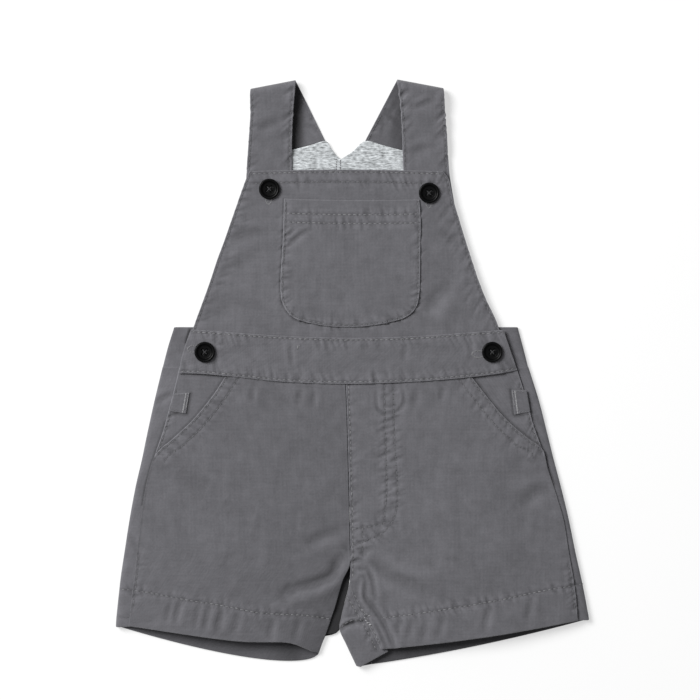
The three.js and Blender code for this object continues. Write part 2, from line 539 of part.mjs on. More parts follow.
// Back bib and its marl facing
const backBibGrid = panelGrid(BACK_BIB, 12, evenShares(8), flatAt(CLOTH));
addMesh('back_bib', closedWall(backBibGrid, lowered(backBibGrid, () => CLOTH)), 'chambray');
const liningGrid = panelGrid(BACK_BIB, 12, evenShares(3, 0, LINING_DEPTH_SHARE), flatAt(LINING_TOP));
addMesh('back_bib_facing', closedWall(liningGrid, lowered(liningGrid, () => CLOTH)), 'marl');

// Straps
function strap(table) {
  const along = new THREE.Vector2(table.fold.inX - table.fold.outX, table.fold.inY - table.fold.outY);
  const away = new THREE.Vector2(-along.y, along.x).normalize();
  if (away.y < 0) away.negate();
  const middle = STRAP_FOLD_TOP / 2;
  const faces = [0, STRAP_CLOTH].map((depth) => {
    const radius = middle - depth;
    const across = (row, z, shift) => evenShares(STRAP_ACROSS).map((u) => new THREE.Vector3(
      lerp(row.outX, row.inX, u) + shift * away.x,
      lerp(row.outY, row.inY, u) + shift * away.y,
      z,
    ));
    const grid = table.front.map((row) => across(row, row.top - depth, 0));
    for (let k = 0; k <= FOLD_STEPS; k += 1) {
      const angle = Math.PI / 2 - Math.PI * k / FOLD_STEPS;
      grid.push(across(table.fold, middle + radius * Math.sin(angle), radius * Math.cos(angle) - middle));
    }
    for (let k = 1; k <= STRAP_BACK_ROWS; k += 1) {
      const t = k / STRAP_BACK_ROWS;
      const row = {};
      for (const key of Object.keys(table.seam)) row[key] = lerp(table.fold[key], table.seam[key], t);
      grid.push(across(row, middle - radius, 0));
    }
    return grid;
  });
  return closedWall(faces[0], faces[1]);
}
addMesh('strap_left', strap(STRAP_LEFT), 'chambray');
addMesh('strap_right', strap(STRAP_RIGHT), 'chambray');

// Buttons: a turned disc with a raised rim and a dished middle, and four sewing holes
function button() {
  const { radius, height, rim, dish, edge } = BUTTON;
  const profile = [
    [0, 0], [radius - edge, 0], [radius, edge], [radius, height - edge], [radius - edge, height],
    [radius - rim, height], [radius - rim - edge, height - dish], [0, height - dish],
  ].map(([r, z]) => new THREE.Vector2(r, z));
  const disc = new THREE.LatheGeometry(profile, BUTTON.sides).rotateX(Math.PI / 2);
  let solid = manifoldOf(disc);
  if (solid.volume() < 0) throw new Error('button profile runs the wrong way');
  for (const sx of [-1, 1]) {
    for (const sy of [-1, 1]) {
      const drill = new THREE.CylinderGeometry(BUTTON.holeRadius, BUTTON.holeRadius, 3 * height, BUTTON.holeSides);
      drill.rotateX(Math.PI / 2);
      drill.translate(sx * BUTTON.holePitch, sy * BUTTON.holePitch, 0);
      solid = solid.subtract(manifoldOf(drill));
    }
  }
  return solid;
}
const buttonSolid = button();
for (const place of BUTTONS) {
  addMesh(place.name, geometryOf(buttonSolid).translate(place.x, place.y, place.floor), 'button');
}

export default group;
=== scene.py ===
# Short baby dungarees in grey chambray, laid flat on their back and seen from straight above.
# Sizes are in millimetres and become metres when a mesh is made. X runs to the viewer's right,
# Y towards the shoulders and Z up. Left and right are the viewer's.
import math

import bpy
import numpy as np
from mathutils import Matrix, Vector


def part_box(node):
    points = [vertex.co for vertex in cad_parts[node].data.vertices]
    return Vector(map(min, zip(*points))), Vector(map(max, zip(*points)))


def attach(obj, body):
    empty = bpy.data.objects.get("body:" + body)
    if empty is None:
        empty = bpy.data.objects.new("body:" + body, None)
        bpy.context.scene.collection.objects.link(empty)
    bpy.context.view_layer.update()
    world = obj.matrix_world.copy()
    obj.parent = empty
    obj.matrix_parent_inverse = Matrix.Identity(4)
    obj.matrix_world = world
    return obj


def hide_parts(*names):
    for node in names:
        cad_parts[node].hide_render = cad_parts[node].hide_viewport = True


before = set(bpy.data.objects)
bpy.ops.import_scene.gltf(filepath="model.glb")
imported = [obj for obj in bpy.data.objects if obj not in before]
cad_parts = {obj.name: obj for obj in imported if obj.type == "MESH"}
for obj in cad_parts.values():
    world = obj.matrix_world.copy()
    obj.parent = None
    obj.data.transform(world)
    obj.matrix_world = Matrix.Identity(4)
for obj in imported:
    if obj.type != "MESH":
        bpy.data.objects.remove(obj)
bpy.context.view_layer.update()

# Camera, floor and light
# A camera straight above the middle of the picture, pale paper on a light table as the floor,
# and one large soft lamp high on the left, so that raised edges throw a faint shadow.
MM = 0.001
PICTURE_WIDTH = 511 * MM
PICTURE_CENTRE = (-1.8 * MM, 16.8 * MM)
CAMERA_HEIGHT = 2.4
SENSOR = 36
FLOOR_SIZE = 8
FLOOR_DROP = 0.15 * MM
PAPER_COLOUR = (0.44, 0.44, 0.44)
PAPER_GLOW = 0.54
LAMP_DIRECTION = (-0.8, 0.52, 0.95)
LAMP_DISTANCE = 3.2
LAMP_SIZE = 1.8
LAMP_POWER = 126
SKY_STRENGTH = 0.3
OBJECT_PLACE = 3

scene = bpy.context.scene
scene.view_settings.view_transform = "Standard"


def set_in_scene(name, data):
    """An object at the origin for a mesh, a lamp or a camera."""
    piece = bpy.data.objects.new(name, data)
    scene.collection.objects.link(piece)
    return piece


camera_data = bpy.data.cameras.new("camera")
camera_data.sensor_width = SENSOR
camera_data.lens = SENSOR * CAMERA_HEIGHT / PICTURE_WIDTH
camera = set_in_scene("camera", camera_data)
camera.location = (*PICTURE_CENTRE, CAMERA_HEIGHT)
scene.camera = camera

lamp_data = bpy.data.lights.new("lamp", "AREA")
lamp_data.shape = "DISK"
lamp_data.size = LAMP_SIZE
lamp_data.energy = LAMP_POWER
lamp = set_in_scene("lamp", lamp_data)
towards = np.array(LAMP_DIRECTION) / np.linalg.norm(LAMP_DIRECTION)
lamp.location = towards * LAMP_DISTANCE
lamp.rotation_euler = lamp.location.to_track_quat("Z", "Y").to_euler()

world = bpy.data.worlds.new("studio")
world.use_nodes = True
world.node_tree.nodes["Background"].inputs["Strength"].default_value = SKY_STRENGTH
world.node_tree.nodes["Background"].inputs["Color"].default_value = (1, 1, 1, 1)
scene.world = world


class Shade:
    """A value in a material's nodes. Sums, products and quotients of it add Math nodes."""

    def __init__(self, finish, socket):
        self.finish = finish
        self.socket = socket

    def maths(self, operation, first, second=0.0):
        return self.finish.node("Math", {"operation": operation}, {0: first, 1: second})

    def __add__(self, other):
        return self.maths("ADD", self, other)

    def __sub__(self, other):
        return self.maths("SUBTRACT", self, other)

    def __rsub__(self, other):
        return self.maths("SUBTRACT", other, self)

    def __mul__(self, other):
        return self.maths("MULTIPLY", self, other)

    def __truediv__(self, other):
        return self.maths("DIVIDE", self, other)

    def __neg__(self):
        return self * -1.0

    __radd__ = __add__
    __rmul__ = __mul__

    def sine(self):
        return self.maths("SINE", self)

    def size(self):
        return self.maths("ABSOLUTE", self)

    def bell(self, width):
        """exp(-(value / width)^2): 1 at zero, and faded beyond the width."""
        return self.maths("POWER", math.e, -((self / width) * (self / width)))


class Finish:
    """A material with a Principled shader, filled in by node()."""

    def __init__(self, name, **constants):
        self.material = bpy.data.materials.new(name)
        self.material.use_nodes = True
        self.tree = self.material.node_tree
        self.shader = self.tree.nodes["Principled BSDF"]
        for socket, value in constants.items():
            self.shader.inputs[socket.replace("_", " ")].default_value = value

    def fill(self, socket, value):
        if isinstance(value, Shade):
            self.tree.links.new(value.socket, socket)
        else:
            socket.default_value = value

    def node(self, kind, settings=None, inputs=None, output=0):
        """One shader node: its settings are set first, then its sockets' values or links."""
        made = self.tree.nodes.new("ShaderNode" + kind)
        for key, value in (settings or {}).items():
            setattr(made, key, value)
        for key, value in (inputs or {}).items():
            self.fill(made.inputs[key], value)
        return Shade(self, made.outputs[output])

    def noise(self, place, scale, detail=2.0):
        """Soft noise from -1 to 1 at a place, each axis with its own count per metre."""
        at = self.node("VectorMath", {"operation": "MULTIPLY"}, {0: place, 1: scale})
        inputs = {"Vector": at, "Scale": 1.0, "Detail": detail, "Roughness": 0.55}
        return (self.node("TexNoise", {}, inputs) - 0.5) * 2.0

    def paint(self, colour, factor):
        """Base colour times a factor that changes over the surface."""
        scaled = self.node("VectorMath", {"operation": "SCALE"}, {0: colour, "Scale": factor})
        self.fill(self.shader.inputs["Base Color"], scaled)

    def raise_by(self, height):
        """Bumps the surface by a height in millimetres."""
        bump = self.node("Bump", {}, {"Height": height, "Distance": MM, "Strength": 1.0})
        self.fill(self.shader.inputs["Normal"], bump)


def paper():
    """Matt pale paper on a light table, with the faintest tooth."""
    finish = Finish("paper", Roughness=0.9, Specular_IOR_Level=0.2)
    finish.fill(finish.shader.inputs["Emission Color"], (1, 1, 1, 1))
    finish.fill(finish.shader.inputs["Emission Strength"], PAPER_GLOW)
    place = finish.node("TexCoord", output=OBJECT_PLACE)
    finish.paint(PAPER_COLOUR, finish.noise(place, (300, 300, 300)) * 0.004 + 1.0)
    return finish.material


def add_mesh(name, vertices, faces, finishes, numbers=0):
    """A smooth mesh object from points in millimetres and arrays of faces, each array with its
    own count of corners in a row, and the number of each face's finish."""
    corners = np.concatenate([part.ravel() for part in faces])
    counts = np.concatenate([np.full(len(part), part.shape[1]) for part in faces])
    mesh = bpy.data.meshes.new(name)
    mesh.vertices.add(len(vertices))
    mesh.vertices.foreach_set("co", (vertices * MM).astype(np.float32).ravel())
    mesh.loops.add(len(corners))
    mesh.loops.foreach_set("vertex_index", corners.astype(np.int32))
    mesh.polygons.add(len(counts))
    mesh.polygons.foreach_set("loop_start", (np.cumsum(counts) - counts).astype(np.int32))
    mesh.polygons.foreach_set("use_smooth", np.full(len(counts), True))
    for finish in finishes:
        mesh.materials.append(finish)
    mesh.polygons.foreach_set("material_index", (numbers + 0 * counts).astype(np.int32))
    mesh.update(calc_edges=True)
    return set_in_scene(name, mesh)


half = FLOOR_SIZE / 2 / MM
drop = -FLOOR_DROP / MM
floor = add_mesh(
    "floor",
    np.array([(-half, -half, drop), (half, -half, drop), (half, half, drop), (-half, half, drop)]),
    [np.array([(0, 1, 2, 3)])], [paper()],
)

# Back of the legs
# Two panels of grey chambray on the surface. Each comes round the outer fold to the side seam on
# the front, and the right one also comes round the inner fold to the inseam. The hem is turned up.
CLOTH = 1.0
HEM_CLOTH = 1.6
FRONT_TOP = 5.8
SEAM_LAP = 4.5
INSEAM_LAP = 8
GRAIN = 1.12
FLOOR_GRAIN = 3.0
FOLD_GRAIN = 0.6
CLOTH_SEED = 5
EDGE_LINES = np.array([0, 0.12, 0.3, 0.55, 0.95])
CHAMBRAY = (0.116, 0.1145, 0.1255)
THREAD_PITCH = 0.56
# Relief depth at which ridges and troughs get their full wear and painted light
WEAR_AND_SHADE_DEPTH = 0.16
FAR_FROM_SEAMS = 30.0


def table(header, *rows):
    """A piece's sizes as columns by name, with a row for each line across the piece."""
    return dict(zip(header.split(), np.array(rows, float).T))


def read(sizes, t):
    """Every column at shares t of a table's length, on a smooth curve through its rows:
    between two rows, the cubic that leaves each one along the chord of its neighbours."""
    last = len(next(iter(sizes.values()))) - 1
    place = np.clip(t, 0, 1) * last
    first = np.minimum(place.astype(int), last - 1)
    w = place - first
    row = {}
    for name, values in sizes.items():
        a, b, c, d = (values[np.clip(first + k, 0, last)] for k in (-1, 0, 1, 2))
        row[name] = b + 0.5 * w * (c - a + w * (2 * a - 5 * b + 4 * c - d + w * (3 * b - a - 3 * c + d)))
    return row


def soft_noise(place, seed):
    """Seeded values from -1 to 1 at whole numbers, joined by smooth steps."""
    values = np.random.default_rng(seed).uniform(-1, 1, 1024)
    cell = np.floor(place).astype(int)
    w = place - cell
    w = w * w * (3 - 2 * w)
    return values[cell % 1024] * (1 - w) + values[(cell + 1) % 1024] * w


def crumple(x, y, size, seed):
    """Seeded values at the corners of slanted squares, joined by smooth steps both ways."""
    values = np.random.default_rng(seed).uniform(-1, 1, (128, 128))
    u = (0.83 * x + 0.56 * y) / size + 64
    v = (0.83 * y - 0.56 * x) / size + 64
    i, j = np.floor(u).astype(int), np.floor(v).astype(int)
    a, b = u - i, v - j
    a, b = a * a * (3 - 2 * a), b * b * (3 - 2 * b)
    i, j, after, above = i % 128, j % 128, (i + 1) % 128, (j + 1) % 128
    low = values[i, j] * (1 - a) + values[after, j] * a
    high = values[i, above] * (1 - a) + values[after, above] * a
    return low * (1 - b) + high * b


def slow_waves(x, y):
    """The unevenness that all layers of the laid cloth share: hills of three sizes."""
    wide = 0.45 * crumple(x, y, 31, CLOTH_SEED) + 0.3 * crumple(x, y, 13, CLOTH_SEED + 1)
    return wide + 0.11 * crumple(x, y, 6, CLOTH_SEED + 2)


def curve(points, step=1.5):
    """Points step apart on a smooth curve through a few given ones."""
    through = table("x y", *points)
    dense = read(through, np.linspace(0, 1, 24 * len(points)))
    line = np.stack([dense["x"], dense["y"]], -1)
    run = np.concatenate([[0], np.cumsum(np.linalg.norm(np.diff(line, axis=0), axis=1))])
    even = np.linspace(0, run[-1], max(int(run[-1] / step), 3) + 1)
    return np.stack([np.interp(even, run, line[:, k]) for k in (0, 1)], -1)


def beside(x, y, line):
    """For points x, y: the distance from a line, negative on its right, the length of line
    run so far, and the line's whole length."""
    step = np.diff(line, axis=0)
    length = np.linalg.norm(step, axis=1)
    run = np.concatenate([[0], np.cumsum(length)])
    place = np.stack([x.ravel(), y.ravel()], -1)
    offset = place[:, None] - line[None, :-1]
    share = np.clip((offset * step).sum(-1) / length ** 2, 0, 1)
    away = offset - share[..., None] * step
    distance = np.linalg.norm(away, axis=-1)
    best = distance.argmin(1)
    rows = np.arange(len(place))
    side = np.sign(step[best, 0] * offset[rows, best, 1] - step[best, 1] * offset[rows, best, 0])
    signed = np.where(side == 0, 1, side) * distance[rows, best]
    along = run[best] + share[rows, best] * length[best]
    return signed.reshape(x.shape), along.reshape(x.shape), run[-1]


def fold(x, y, points, half_width, depth, ridge=0.35):
    """Height that a soft crease takes away: a bell across its curve, faded out at both ends,
    with a low ridge of that share of the depth on the left of its run."""
    away, along, length = beside(x, y, curve(points))
    fade = np.sin(np.pi * np.clip(along / length, 0.04, 0.96)) ** 0.7
    bell = np.exp(-(away / half_width) ** 2)
    beyond = np.exp(-((away - 1.7 * half_width) / half_width) ** 2)
    return depth * fade * (ridge * beyond - bell)


def pucker(x, y, line, seed, height=0.85, pitch=3.6, reach=4.6, pinch=0.2, lean=0.35):
    """Height of the puckers that a row of stitches draws up: ridges with narrow troughs between
    them, uneven along the row, slanting where it runs upright, that rise beside the row and die
    out, and a shallow pinch on the row itself."""
    away, along, _ = beside(x, y, line)
    step = np.diff(line, axis=0)
    upright = np.abs(step[:, 1]) / np.linalg.norm(step, axis=1)
    slant = 0.1 + lean * np.interp(along, lengths(line)[1:], upright)
    place = (along + slant * away) / pitch
    ripple = 0.6 * soft_noise(place, seed) + 0.4 * soft_noise(1.9 * place + 0.2 * away, seed + 1)
    ripple = 0.5 * np.maximum(ripple, 0) + 1.2 * np.minimum(ripple, 0)
    uneven = 0.75 + 0.5 * soft_noise(along / 17, seed + 2)
    size = np.abs(away)
    swell = np.exp(-(size / reach) ** 2)
    return height * uneven * (0.2 + ripple) * swell - pinch * np.exp(-(size / 1.3) ** 2)


def folded_panel(sizes, lap, skew=1.0):
    """A panel that lies on the surface from its inner edge, turns up round a fold of half the
    upper height and comes back on top: stretches 0 to 1, 1 to 2 and 2 to 3 of q. A row's bow is
    deepest where its share to the power of the skew is a half."""
    side = np.sign(sizes["fold_x"][0] - sizes["in_x"][0])

    def surface(t, q):
        row = read(sizes, t)
        radius = row["top"] / 2
        turn = row["fold_x"] - side * radius
        on_floor = np.clip(q, 0, 1)
        angle = np.pi * (np.clip(q - 1, 0, 1) - 0.5)
        on_top = np.clip(q - 2, 0, 1)
        x = row["in_x"] + on_floor * (turn - row["in_x"])
        x = x + side * radius * np.cos(angle) * (q > 1) * (q < 2)
        x = x + on_top * (row["seam_x"] - side * lap - turn)
        bent = on_floor ** skew
        y = row["in_y"] + on_floor * (row["fold_y"] - row["in_y"]) - row["bow"] * 4 * bent * (1 - bent)
        y = y + on_top * (row["seam_y"] - row["fold_y"])
        z = radius + radius * np.sin(angle)
        return np.stack([x, y, z], -1)

    return surface


def lengths(points):
    """Length run so far along each row of points."""
    step = np.linalg.norm(np.diff(points, axis=-2), axis=-1)
    return np.concatenate([np.zeros_like(step[..., :1]), np.cumsum(step, axis=-1)], -1)


def close_to_edges(length, step):
    """Distances across a length: close together at both edges, and step apart between."""
    count = max(int((length.max() - 2 * EDGE_LINES[-1]) / step), 2)
    share = np.linspace(0, 1, count + 1)[1:-1]
    inside = EDGE_LINES[-1] + (length[..., None] - 2 * EDGE_LINES[-1]) * share
    ends = np.broadcast_to(EDGE_LINES, (*length.shape, len(EDGE_LINES)))
    return np.concatenate([ends, inside, length[..., None] - ends[..., ::-1]], -1)


def lay_out(surface, steps=(GRAIN,), step_along=GRAIN, start=0.0, end=1.0):
    """Grid of a piece: rows step_along apart by its middle line, and in each row points the
    given steps apart in each stretch, closer at the piece's edges. Gives the points, the
    distance from the nearest edge and the shares t and q of each point."""
    dense = np.linspace(start, end, 1201)
    middle = surface(dense, np.full_like(dense, len(steps) / 2))
    run = lengths(middle)
    t = np.interp(close_to_edges(run[-1:], step_along)[0], run, dense)
    q = []
    for k, step in enumerate(steps):
        fine = np.linspace(k, k + 1, 61)
        stretch = lengths(surface(t[:, None] + 0 * fine, fine + 0 * t[:, None]))
        even = close_to_edges(stretch[:, -1], step)
        first = 0 if k == 0 else len(EDGE_LINES)
        last = even.shape[1] if k == len(steps) - 1 else even.shape[1] - len(EDGE_LINES)
        if k:
            q.append(np.full((len(t), 1), float(k)))
        q.append(k + even[:, first:last] / stretch[:, -1:])
    q = np.concatenate(q, 1)
    t = np.broadcast_to(t[:, None], q.shape)
    points = surface(t, q)
    across = lengths(points)
    down = lengths(points.swapaxes(0, 1)).T
    edge = np.minimum.reduce([across, across[:, -1:] - across, down, down[-1:] - down])
    return {"points": points, "edge": edge, "across": across, "down": down, "t": t, "q": q}


def face_up(points):
    """Unit normals of a grid of points, turned so that the last point of the first row faces up.
    Points that lie on the surface face down."""
    normal = np.cross(np.gradient(points, axis=1), np.gradient(points, axis=0))
    normal /= np.maximum(np.linalg.norm(normal, axis=-1, keepdims=True), 1e-9)
    normal *= np.sign(normal[0, -1, 2])
    return np.where(points[..., 2:] < 1e-6, (0, 0, -1.0), normal)


def shell_of(name, sheets, finish, seams=()):
    """Closed shells of cloth, joined in one mesh. Each sheet is a grid with its thickness. Near
    an edge both faces curve in on a quarter round of half the thickness, and they share the edge.
    Writes the map "cloth" along and across the thread, and for the finish the lengths "edge" from
    the piece's edge, "seam" from its nearest row of stitches, with the side as its sign, and
    "near" without it, the share "inside" of painted shade where cloth lies deep inside the garment
    or in the shadow of another piece, and a mark of rubbed wear and painted light, 1 on rubbed and
    highlit ridges and edges and -1 in troughs and beside meeting edges, painted as shade."""
    vertices, quads, marks = [], [], []
    count = 0
    for sheet in sheets:
        points = sheet["points"]
        thickness = sheet["thickness"]
        normal = face_up(points)
        radius = thickness / 2
        near_edge = 1 - np.minimum(sheet["edge"] / radius, 1)
        drop = (radius * (1 - np.sqrt(1 - near_edge ** 2)))[..., None]
        deep = np.broadcast_to(np.asarray(thickness, float), sheet["edge"].shape)[..., None]
        outer = points - normal * drop
        inner = points - normal * (deep - drop)
        rows, columns = sheet["edge"].shape
        index = np.arange(rows * columns).reshape(rows, columns)
        under = index.copy()
        under[1:-1, 1:-1] = rows * columns + np.arange((rows - 2) * (columns - 2)).reshape(rows - 2, -1)
        turned = np.cross(points[0, 1] - points[0, 0], points[1, 0] - points[0, 0])
        agrees = (turned * normal[0, 0]).sum() > 0
        for grid, faces_up in ((index, True), (under, False)):
            quad = np.stack([grid[:-1, :-1], grid[:-1, 1:], grid[1:, 1:], grid[1:, :-1]], -1)
            quad = quad.reshape(-1, 4)
            quads.append((quad if agrees == faces_up else quad[:, ::-1]) + count)
        seam = np.full(rows * columns, FAR_FROM_SEAMS)
        for line in seams:
            away = beside(points[..., 0], points[..., 1], line)[0].ravel()
            seam = np.where(np.abs(away) < np.abs(seam), away, seam)
        edge, inside, wear_and_painted_light = (sheet[mark].ravel() for mark in ("edge", "inside", "wear_and_painted_light"))
        mark = np.column_stack([sheet["map"].reshape(-1, 2), edge, seam, np.abs(seam), inside, wear_and_painted_light])
        under_mark = mark.reshape(rows, columns, -1)[1:-1, 1:-1]
        marks += [mark, under_mark.reshape(-1, mark.shape[1])]
        vertices += [outer.reshape(-1, 3), inner[1:-1, 1:-1].reshape(-1, 3)]
        count += rows * columns + (rows - 2) * (columns - 2)
    faces = np.concatenate(quads)
    marks = np.concatenate(marks)
    piece = add_mesh(name, np.concatenate(vertices), [faces], [finish])
    mesh = piece.data
    layer = mesh.uv_layers.new(name="cloth")
    layer.data.foreach_set("uv", (marks[faces.ravel(), :2] * MM).astype(np.float32).ravel())
    for k, mark in enumerate(("edge", "seam", "near", "inside", "wear_and_painted_light")):
        data = mesh.attributes.new(mark, "FLOAT", "POINT")
        data.data.foreach_set("value", marks[:, 2 + k].astype(np.float32))
    return piece


def cut_of(*sheets):
    """Width, length and area of the flat cut of sheets, in metres, from their grids."""
    width = sum(sheet["across"][:, -1].max() for sheet in sheets)
    length = max(sheet["down"][-1].max() for sheet in sheets)
    area = 0
    for sheet in sheets:
        p = sheet["flat"]
        cross = np.cross(p[1:, 1:] - p[:-1, :-1], p[1:, :-1] - p[:-1, 1:])
        area += np.linalg.norm(cross, axis=-1).sum() / 2
    return (float(width * MM), float(length * MM)), float(min(area * MM * MM, width * length * MM * MM))


def belongs(piece, node=None):
    """Hangs a piece on the root body and hides the node that it stands for."""
    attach(piece, "root")
    if node:
        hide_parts(node)


def cloth_piece(name, node, sheets, seams=(), finish=None):
    """Makes a piece's shells and says where it belongs; the size and area of its flat cut are worked out
    but not kept.
    """
    piece = shell_of(name, sheets, finish or cloth_front, seams)
    belongs(piece, node)
    flat, area = cut_of(*sheets)


def smoothed(values, reach=3):
    """Mean of each value and its neighbours up to a reach away, both ways over the grid."""
    width = 2 * reach + 1
    for axis in (0, 1):
        padding = [(reach, reach) if k == axis else (0, 0) for k in (0, 1)]
        total = np.cumsum(np.pad(values, padding, mode="edge"), axis=axis)
        total = np.insert(total, 0, 0, axis=axis)
        first = np.arange(values.shape[axis])
        values = (np.take(total, first + width, axis=axis) - np.take(total, first, axis=axis)) / width
    return values


def ready(grid, thickness=CLOTH, relief=None):
    """Gives a grid its thickness, thread map and relief, which only what faces up takes. What
    stands above its neighbours is marked pale, as rubbed wear and painted highlight, and what lies
    below them is painted dark as shade."""
    grid["flat"] = grid["points"].copy()
    grid["map"] = np.stack([grid["across"] + grid["points"][:, :1, 0], grid["points"][..., 1]], -1)
    grid["thickness"] = thickness
    grid["inside"] = np.zeros_like(grid["edge"])
    grid["wear_and_painted_light"] = np.zeros_like(grid["edge"])
    if relief is not None:
        points = grid["points"]
        rise = relief(points[..., 0], points[..., 1]) * np.clip(face_up(points)[..., 2], 0, 1)
        points[..., 2] += rise
        # Ridges marked paler, as wear and painted highlight, and troughs painted dark as shade
        grid["wear_and_painted_light"] = np.clip((rise - smoothed(rise)) / WEAR_AND_SHADE_DEPTH, -1, 1)
    return grid


def chambray(name):
    """Grey plain weave: threads that pass over each other as small humps, thick and thin threads
    as streaks both ways, soft mottling, paler ridges and edges, partly rubbed and partly painted
    highlight, troughs and meeting edges painted dark as shade, crinkles beside each stitched row
    that are bumped and painted in light and shade, a darker line along each row, and painted shade
    where cloth lies deep inside or in another piece's shadow."""
    finish = Finish(
        name, Roughness=0.82, Specular_IOR_Level=0.25, Sheen_Weight=0.22, Sheen_Roughness=0.55,
    )
    place = finish.node("UVMap", {"uv_map": "cloth"})
    u = finish.node("SeparateXYZ", {}, {0: place}, 0)
    v = finish.node("SeparateXYZ", {}, {0: place}, 1)
    edge, seam, near, inside, wear_and_painted_light = (
        finish.node("Attribute", {"attribute_name": mark}, output=2)
        for mark in ("edge", "seam", "near", "inside", "wear_and_painted_light")
    )
    wobble = finish.noise(place, (900, 900, 900)) * 0.35
    turn = math.pi / (THREAD_PITCH * MM)
    weave = (u * turn + wobble).sine() * (v * turn + wobble).sine()
    warp = finish.noise(place, (620, 40, 1), 3.0)
    weft = finish.noise(place, (50, 620, 1), 3.0)
    grain = finish.noise(place, (640, 640, 1), 2.0)
    patch = finish.noise(place, (150, 130, 1), 2.0)
    mottle = finish.noise(place, (38, 30, 1), 3.0)
    worn_and_highlit_edge = edge.bell(0.7)
    crinkle = finish.noise(place, (340, 340, 1), 1.5) * near.bell(4.5)
    row = seam.bell(0.75) * finish.node("Math", {"operation": "LESS_THAN"}, {0: near, 1: 2.5})
    # Painted light and shade in this factor: the crinkles, ridges and edges paler as wear and highlight,
    # troughs and meeting edges darker as shade, and the painted shade of cloth inside
    factor = 1.0 + weave * 0.06 + warp * 0.13 + weft * 0.12 + grain * 0.17 + patch * 0.16 + mottle * 0.17
    factor = factor + crinkle * 0.22 + wear_and_painted_light * 0.15 + worn_and_highlit_edge * 0.22 - row * 0.08
    finish.paint(CHAMBRAY, factor * (1.0 - inside * 0.36))
    finish.raise_by(weave * 0.04 + warp * 0.05 + weft * 0.05 + grain * 0.07 + crinkle * 0.14 - row * 0.12)
    return finish.material


cloth_front = chambray("chambray")

BACK_LEG_LEFT = table(
    "in_x in_y fold_x fold_y seam_x seam_y top bow",
    (-2.1, 4.8, -138.4, 4.8, -126.2, 4.8, 3.2, 0),
    (-2.2, -20, -144.4, -20, -132, -20, 3.2, 0),
    (-2.2, -45, -149.9, -45, -138.9, -45, 3.2, 0),
    (-2.2, -63, -153.6, -63, -144.9, -63, 3.2, 0),
    (-2.2, -82, -158, -82, -150.3, -82, 3.6, 0),
    (-2.2, -105, -162.3, -105, -153.8, -105, 4, 0),
    (-2.2, -130, -166.2, -130, -157, -130, 4.4, 0),
    (-2.3, -152, -168.9, -148, -158.5, -148, 4.8, 1),
    (-6.1, -169, -170.7, -164, -160.8, -164, 5.2, 3),
    (-9.6, -187.5, -172, -176.5, -162, -176.5, 5.5, 6),
    (-18.3, -189.6, -172.2, -178.5, -162.2, -178.5, 5.5, 7),
    (-24.6, -204, -172.6, -185.2, -162.9, -184.6, 5.6, 10.2),
)
BACK_LEG_RIGHT = table(
    "in_x in_y fold_x fold_y seam_x seam_y top bow",
    (-2.1, 4.8, 128.2, 4.8, 119.4, 4.8, 3.2, 0),
    (-2.1, -20, 136, -20, 127, -20, 3.2, 0),
    (-2.1, -42, 141.6, -42, 133.4, -42, 3.2, 0),
    (-2.1, -63, 146.8, -63, 140.6, -63, 3.2, 0),
    (-2.1, -82, 151.8, -82, 146.6, -82, 3.6, 0),
    (-2.1, -105, 157.4, -105, 153.3, -105, 4, 0),
    (-2.1, -130, 162.5, -130, 157.7, -130, 4.4, 0),
    (-2, -151.5, 166.5, -148, 161, -148, 4.8, 0),
    (4.1, -169, 169.6, -163, 162.8, -163, 5.2, 1),
    (1.2, -186, 171.2, -172, 163.6, -172, 5.5, 2),
    (6.1, -199, 172, -176, 164, -176, 5.6, 2),
    (14.1, -212.5, 172.6, -180.1, 164.4, -180.1, 5.7, 2.5),
)
INNER_WRAP = table(
    "in_x in_y fold_x fold_y seam_x seam_y top bow",
    (7, -152.5, -2.1, -152.5, -3.9, -152.5, 4.6, 0),
    (6, -160, -3.8, -160, -4.2, -160, 4.7, 0),
    (4, -168, -5.9, -168, -1, -168, 5, 0),
    (2, -178, -8.3, -178, 5, -176, 5.4, 0),
    (1, -187, -9.4, -187, 10, -186, 5.7, 0),
    (6, -198.8, -4.2, -198.8, 14.5, -194.8, 5.8, 0),
    (14, -212.4, 3, -214, 18, -202.8, 5.9, 0),
)
WRAP_GRAINS = (FLOOR_GRAIN, FOLD_GRAIN, GRAIN)
INNER_GRAINS = (GRAIN, FOLD_GRAIN, GRAIN)
LEFT_SKEW = 0.6
# Painted shade on the back panels' floor stretch under the front: the web between the legs, the right hem,
# a spot in the left hem and a base share everywhere
WEB_LEFT = -30
WEB_FOOT = -197
WEB_FADE = 6
WEB_SHADE = 1.75
HEM_SHADE = 0.85
HEM_SHADE_SPOT = (-44, 12, 0.8)
HEM_BASE_SHADE = 0.6
# Painted highlight on the left wrap past its fold, on the side towards the lamp
WRAP_PAINTED_HIGHLIGHT = 0.55
PAST_FOLD = 1.4


def painted_inner_shade(grid):
    """Painted shade on the floor stretch that lies away from the fold, where little light comes,
    and more in the web between the legs, inside the right hem and on a spot of the left one."""
    x, y = grid["points"][..., 0], grid["points"][..., 1]
    web = np.clip((x - WEB_LEFT) / WEB_FADE, 0, 1) * np.clip((y - WEB_FOOT) / WEB_FADE, 0, 1)
    middle, width, depth = HEM_SHADE_SPOT
    spot_shade = depth * np.exp(-((x - middle) / width) ** 2) * (y < WEB_FOOT + WEB_FADE)
    share = HEM_BASE_SHADE + WEB_SHADE * web * (x < 0) + HEM_SHADE * (x > 0) + spot_shade
    return np.clip((0.97 - grid["q"]) / 0.05, 0, 1) * share


def hem_thickness(grid, start):
    """Cloth thickness that grows to the turned-up hem's from a share of the rows on."""
    rise = np.clip((grid["t"] - start) / 0.02, 0, 1)
    return CLOTH + (HEM_CLOTH - CLOTH) * rise


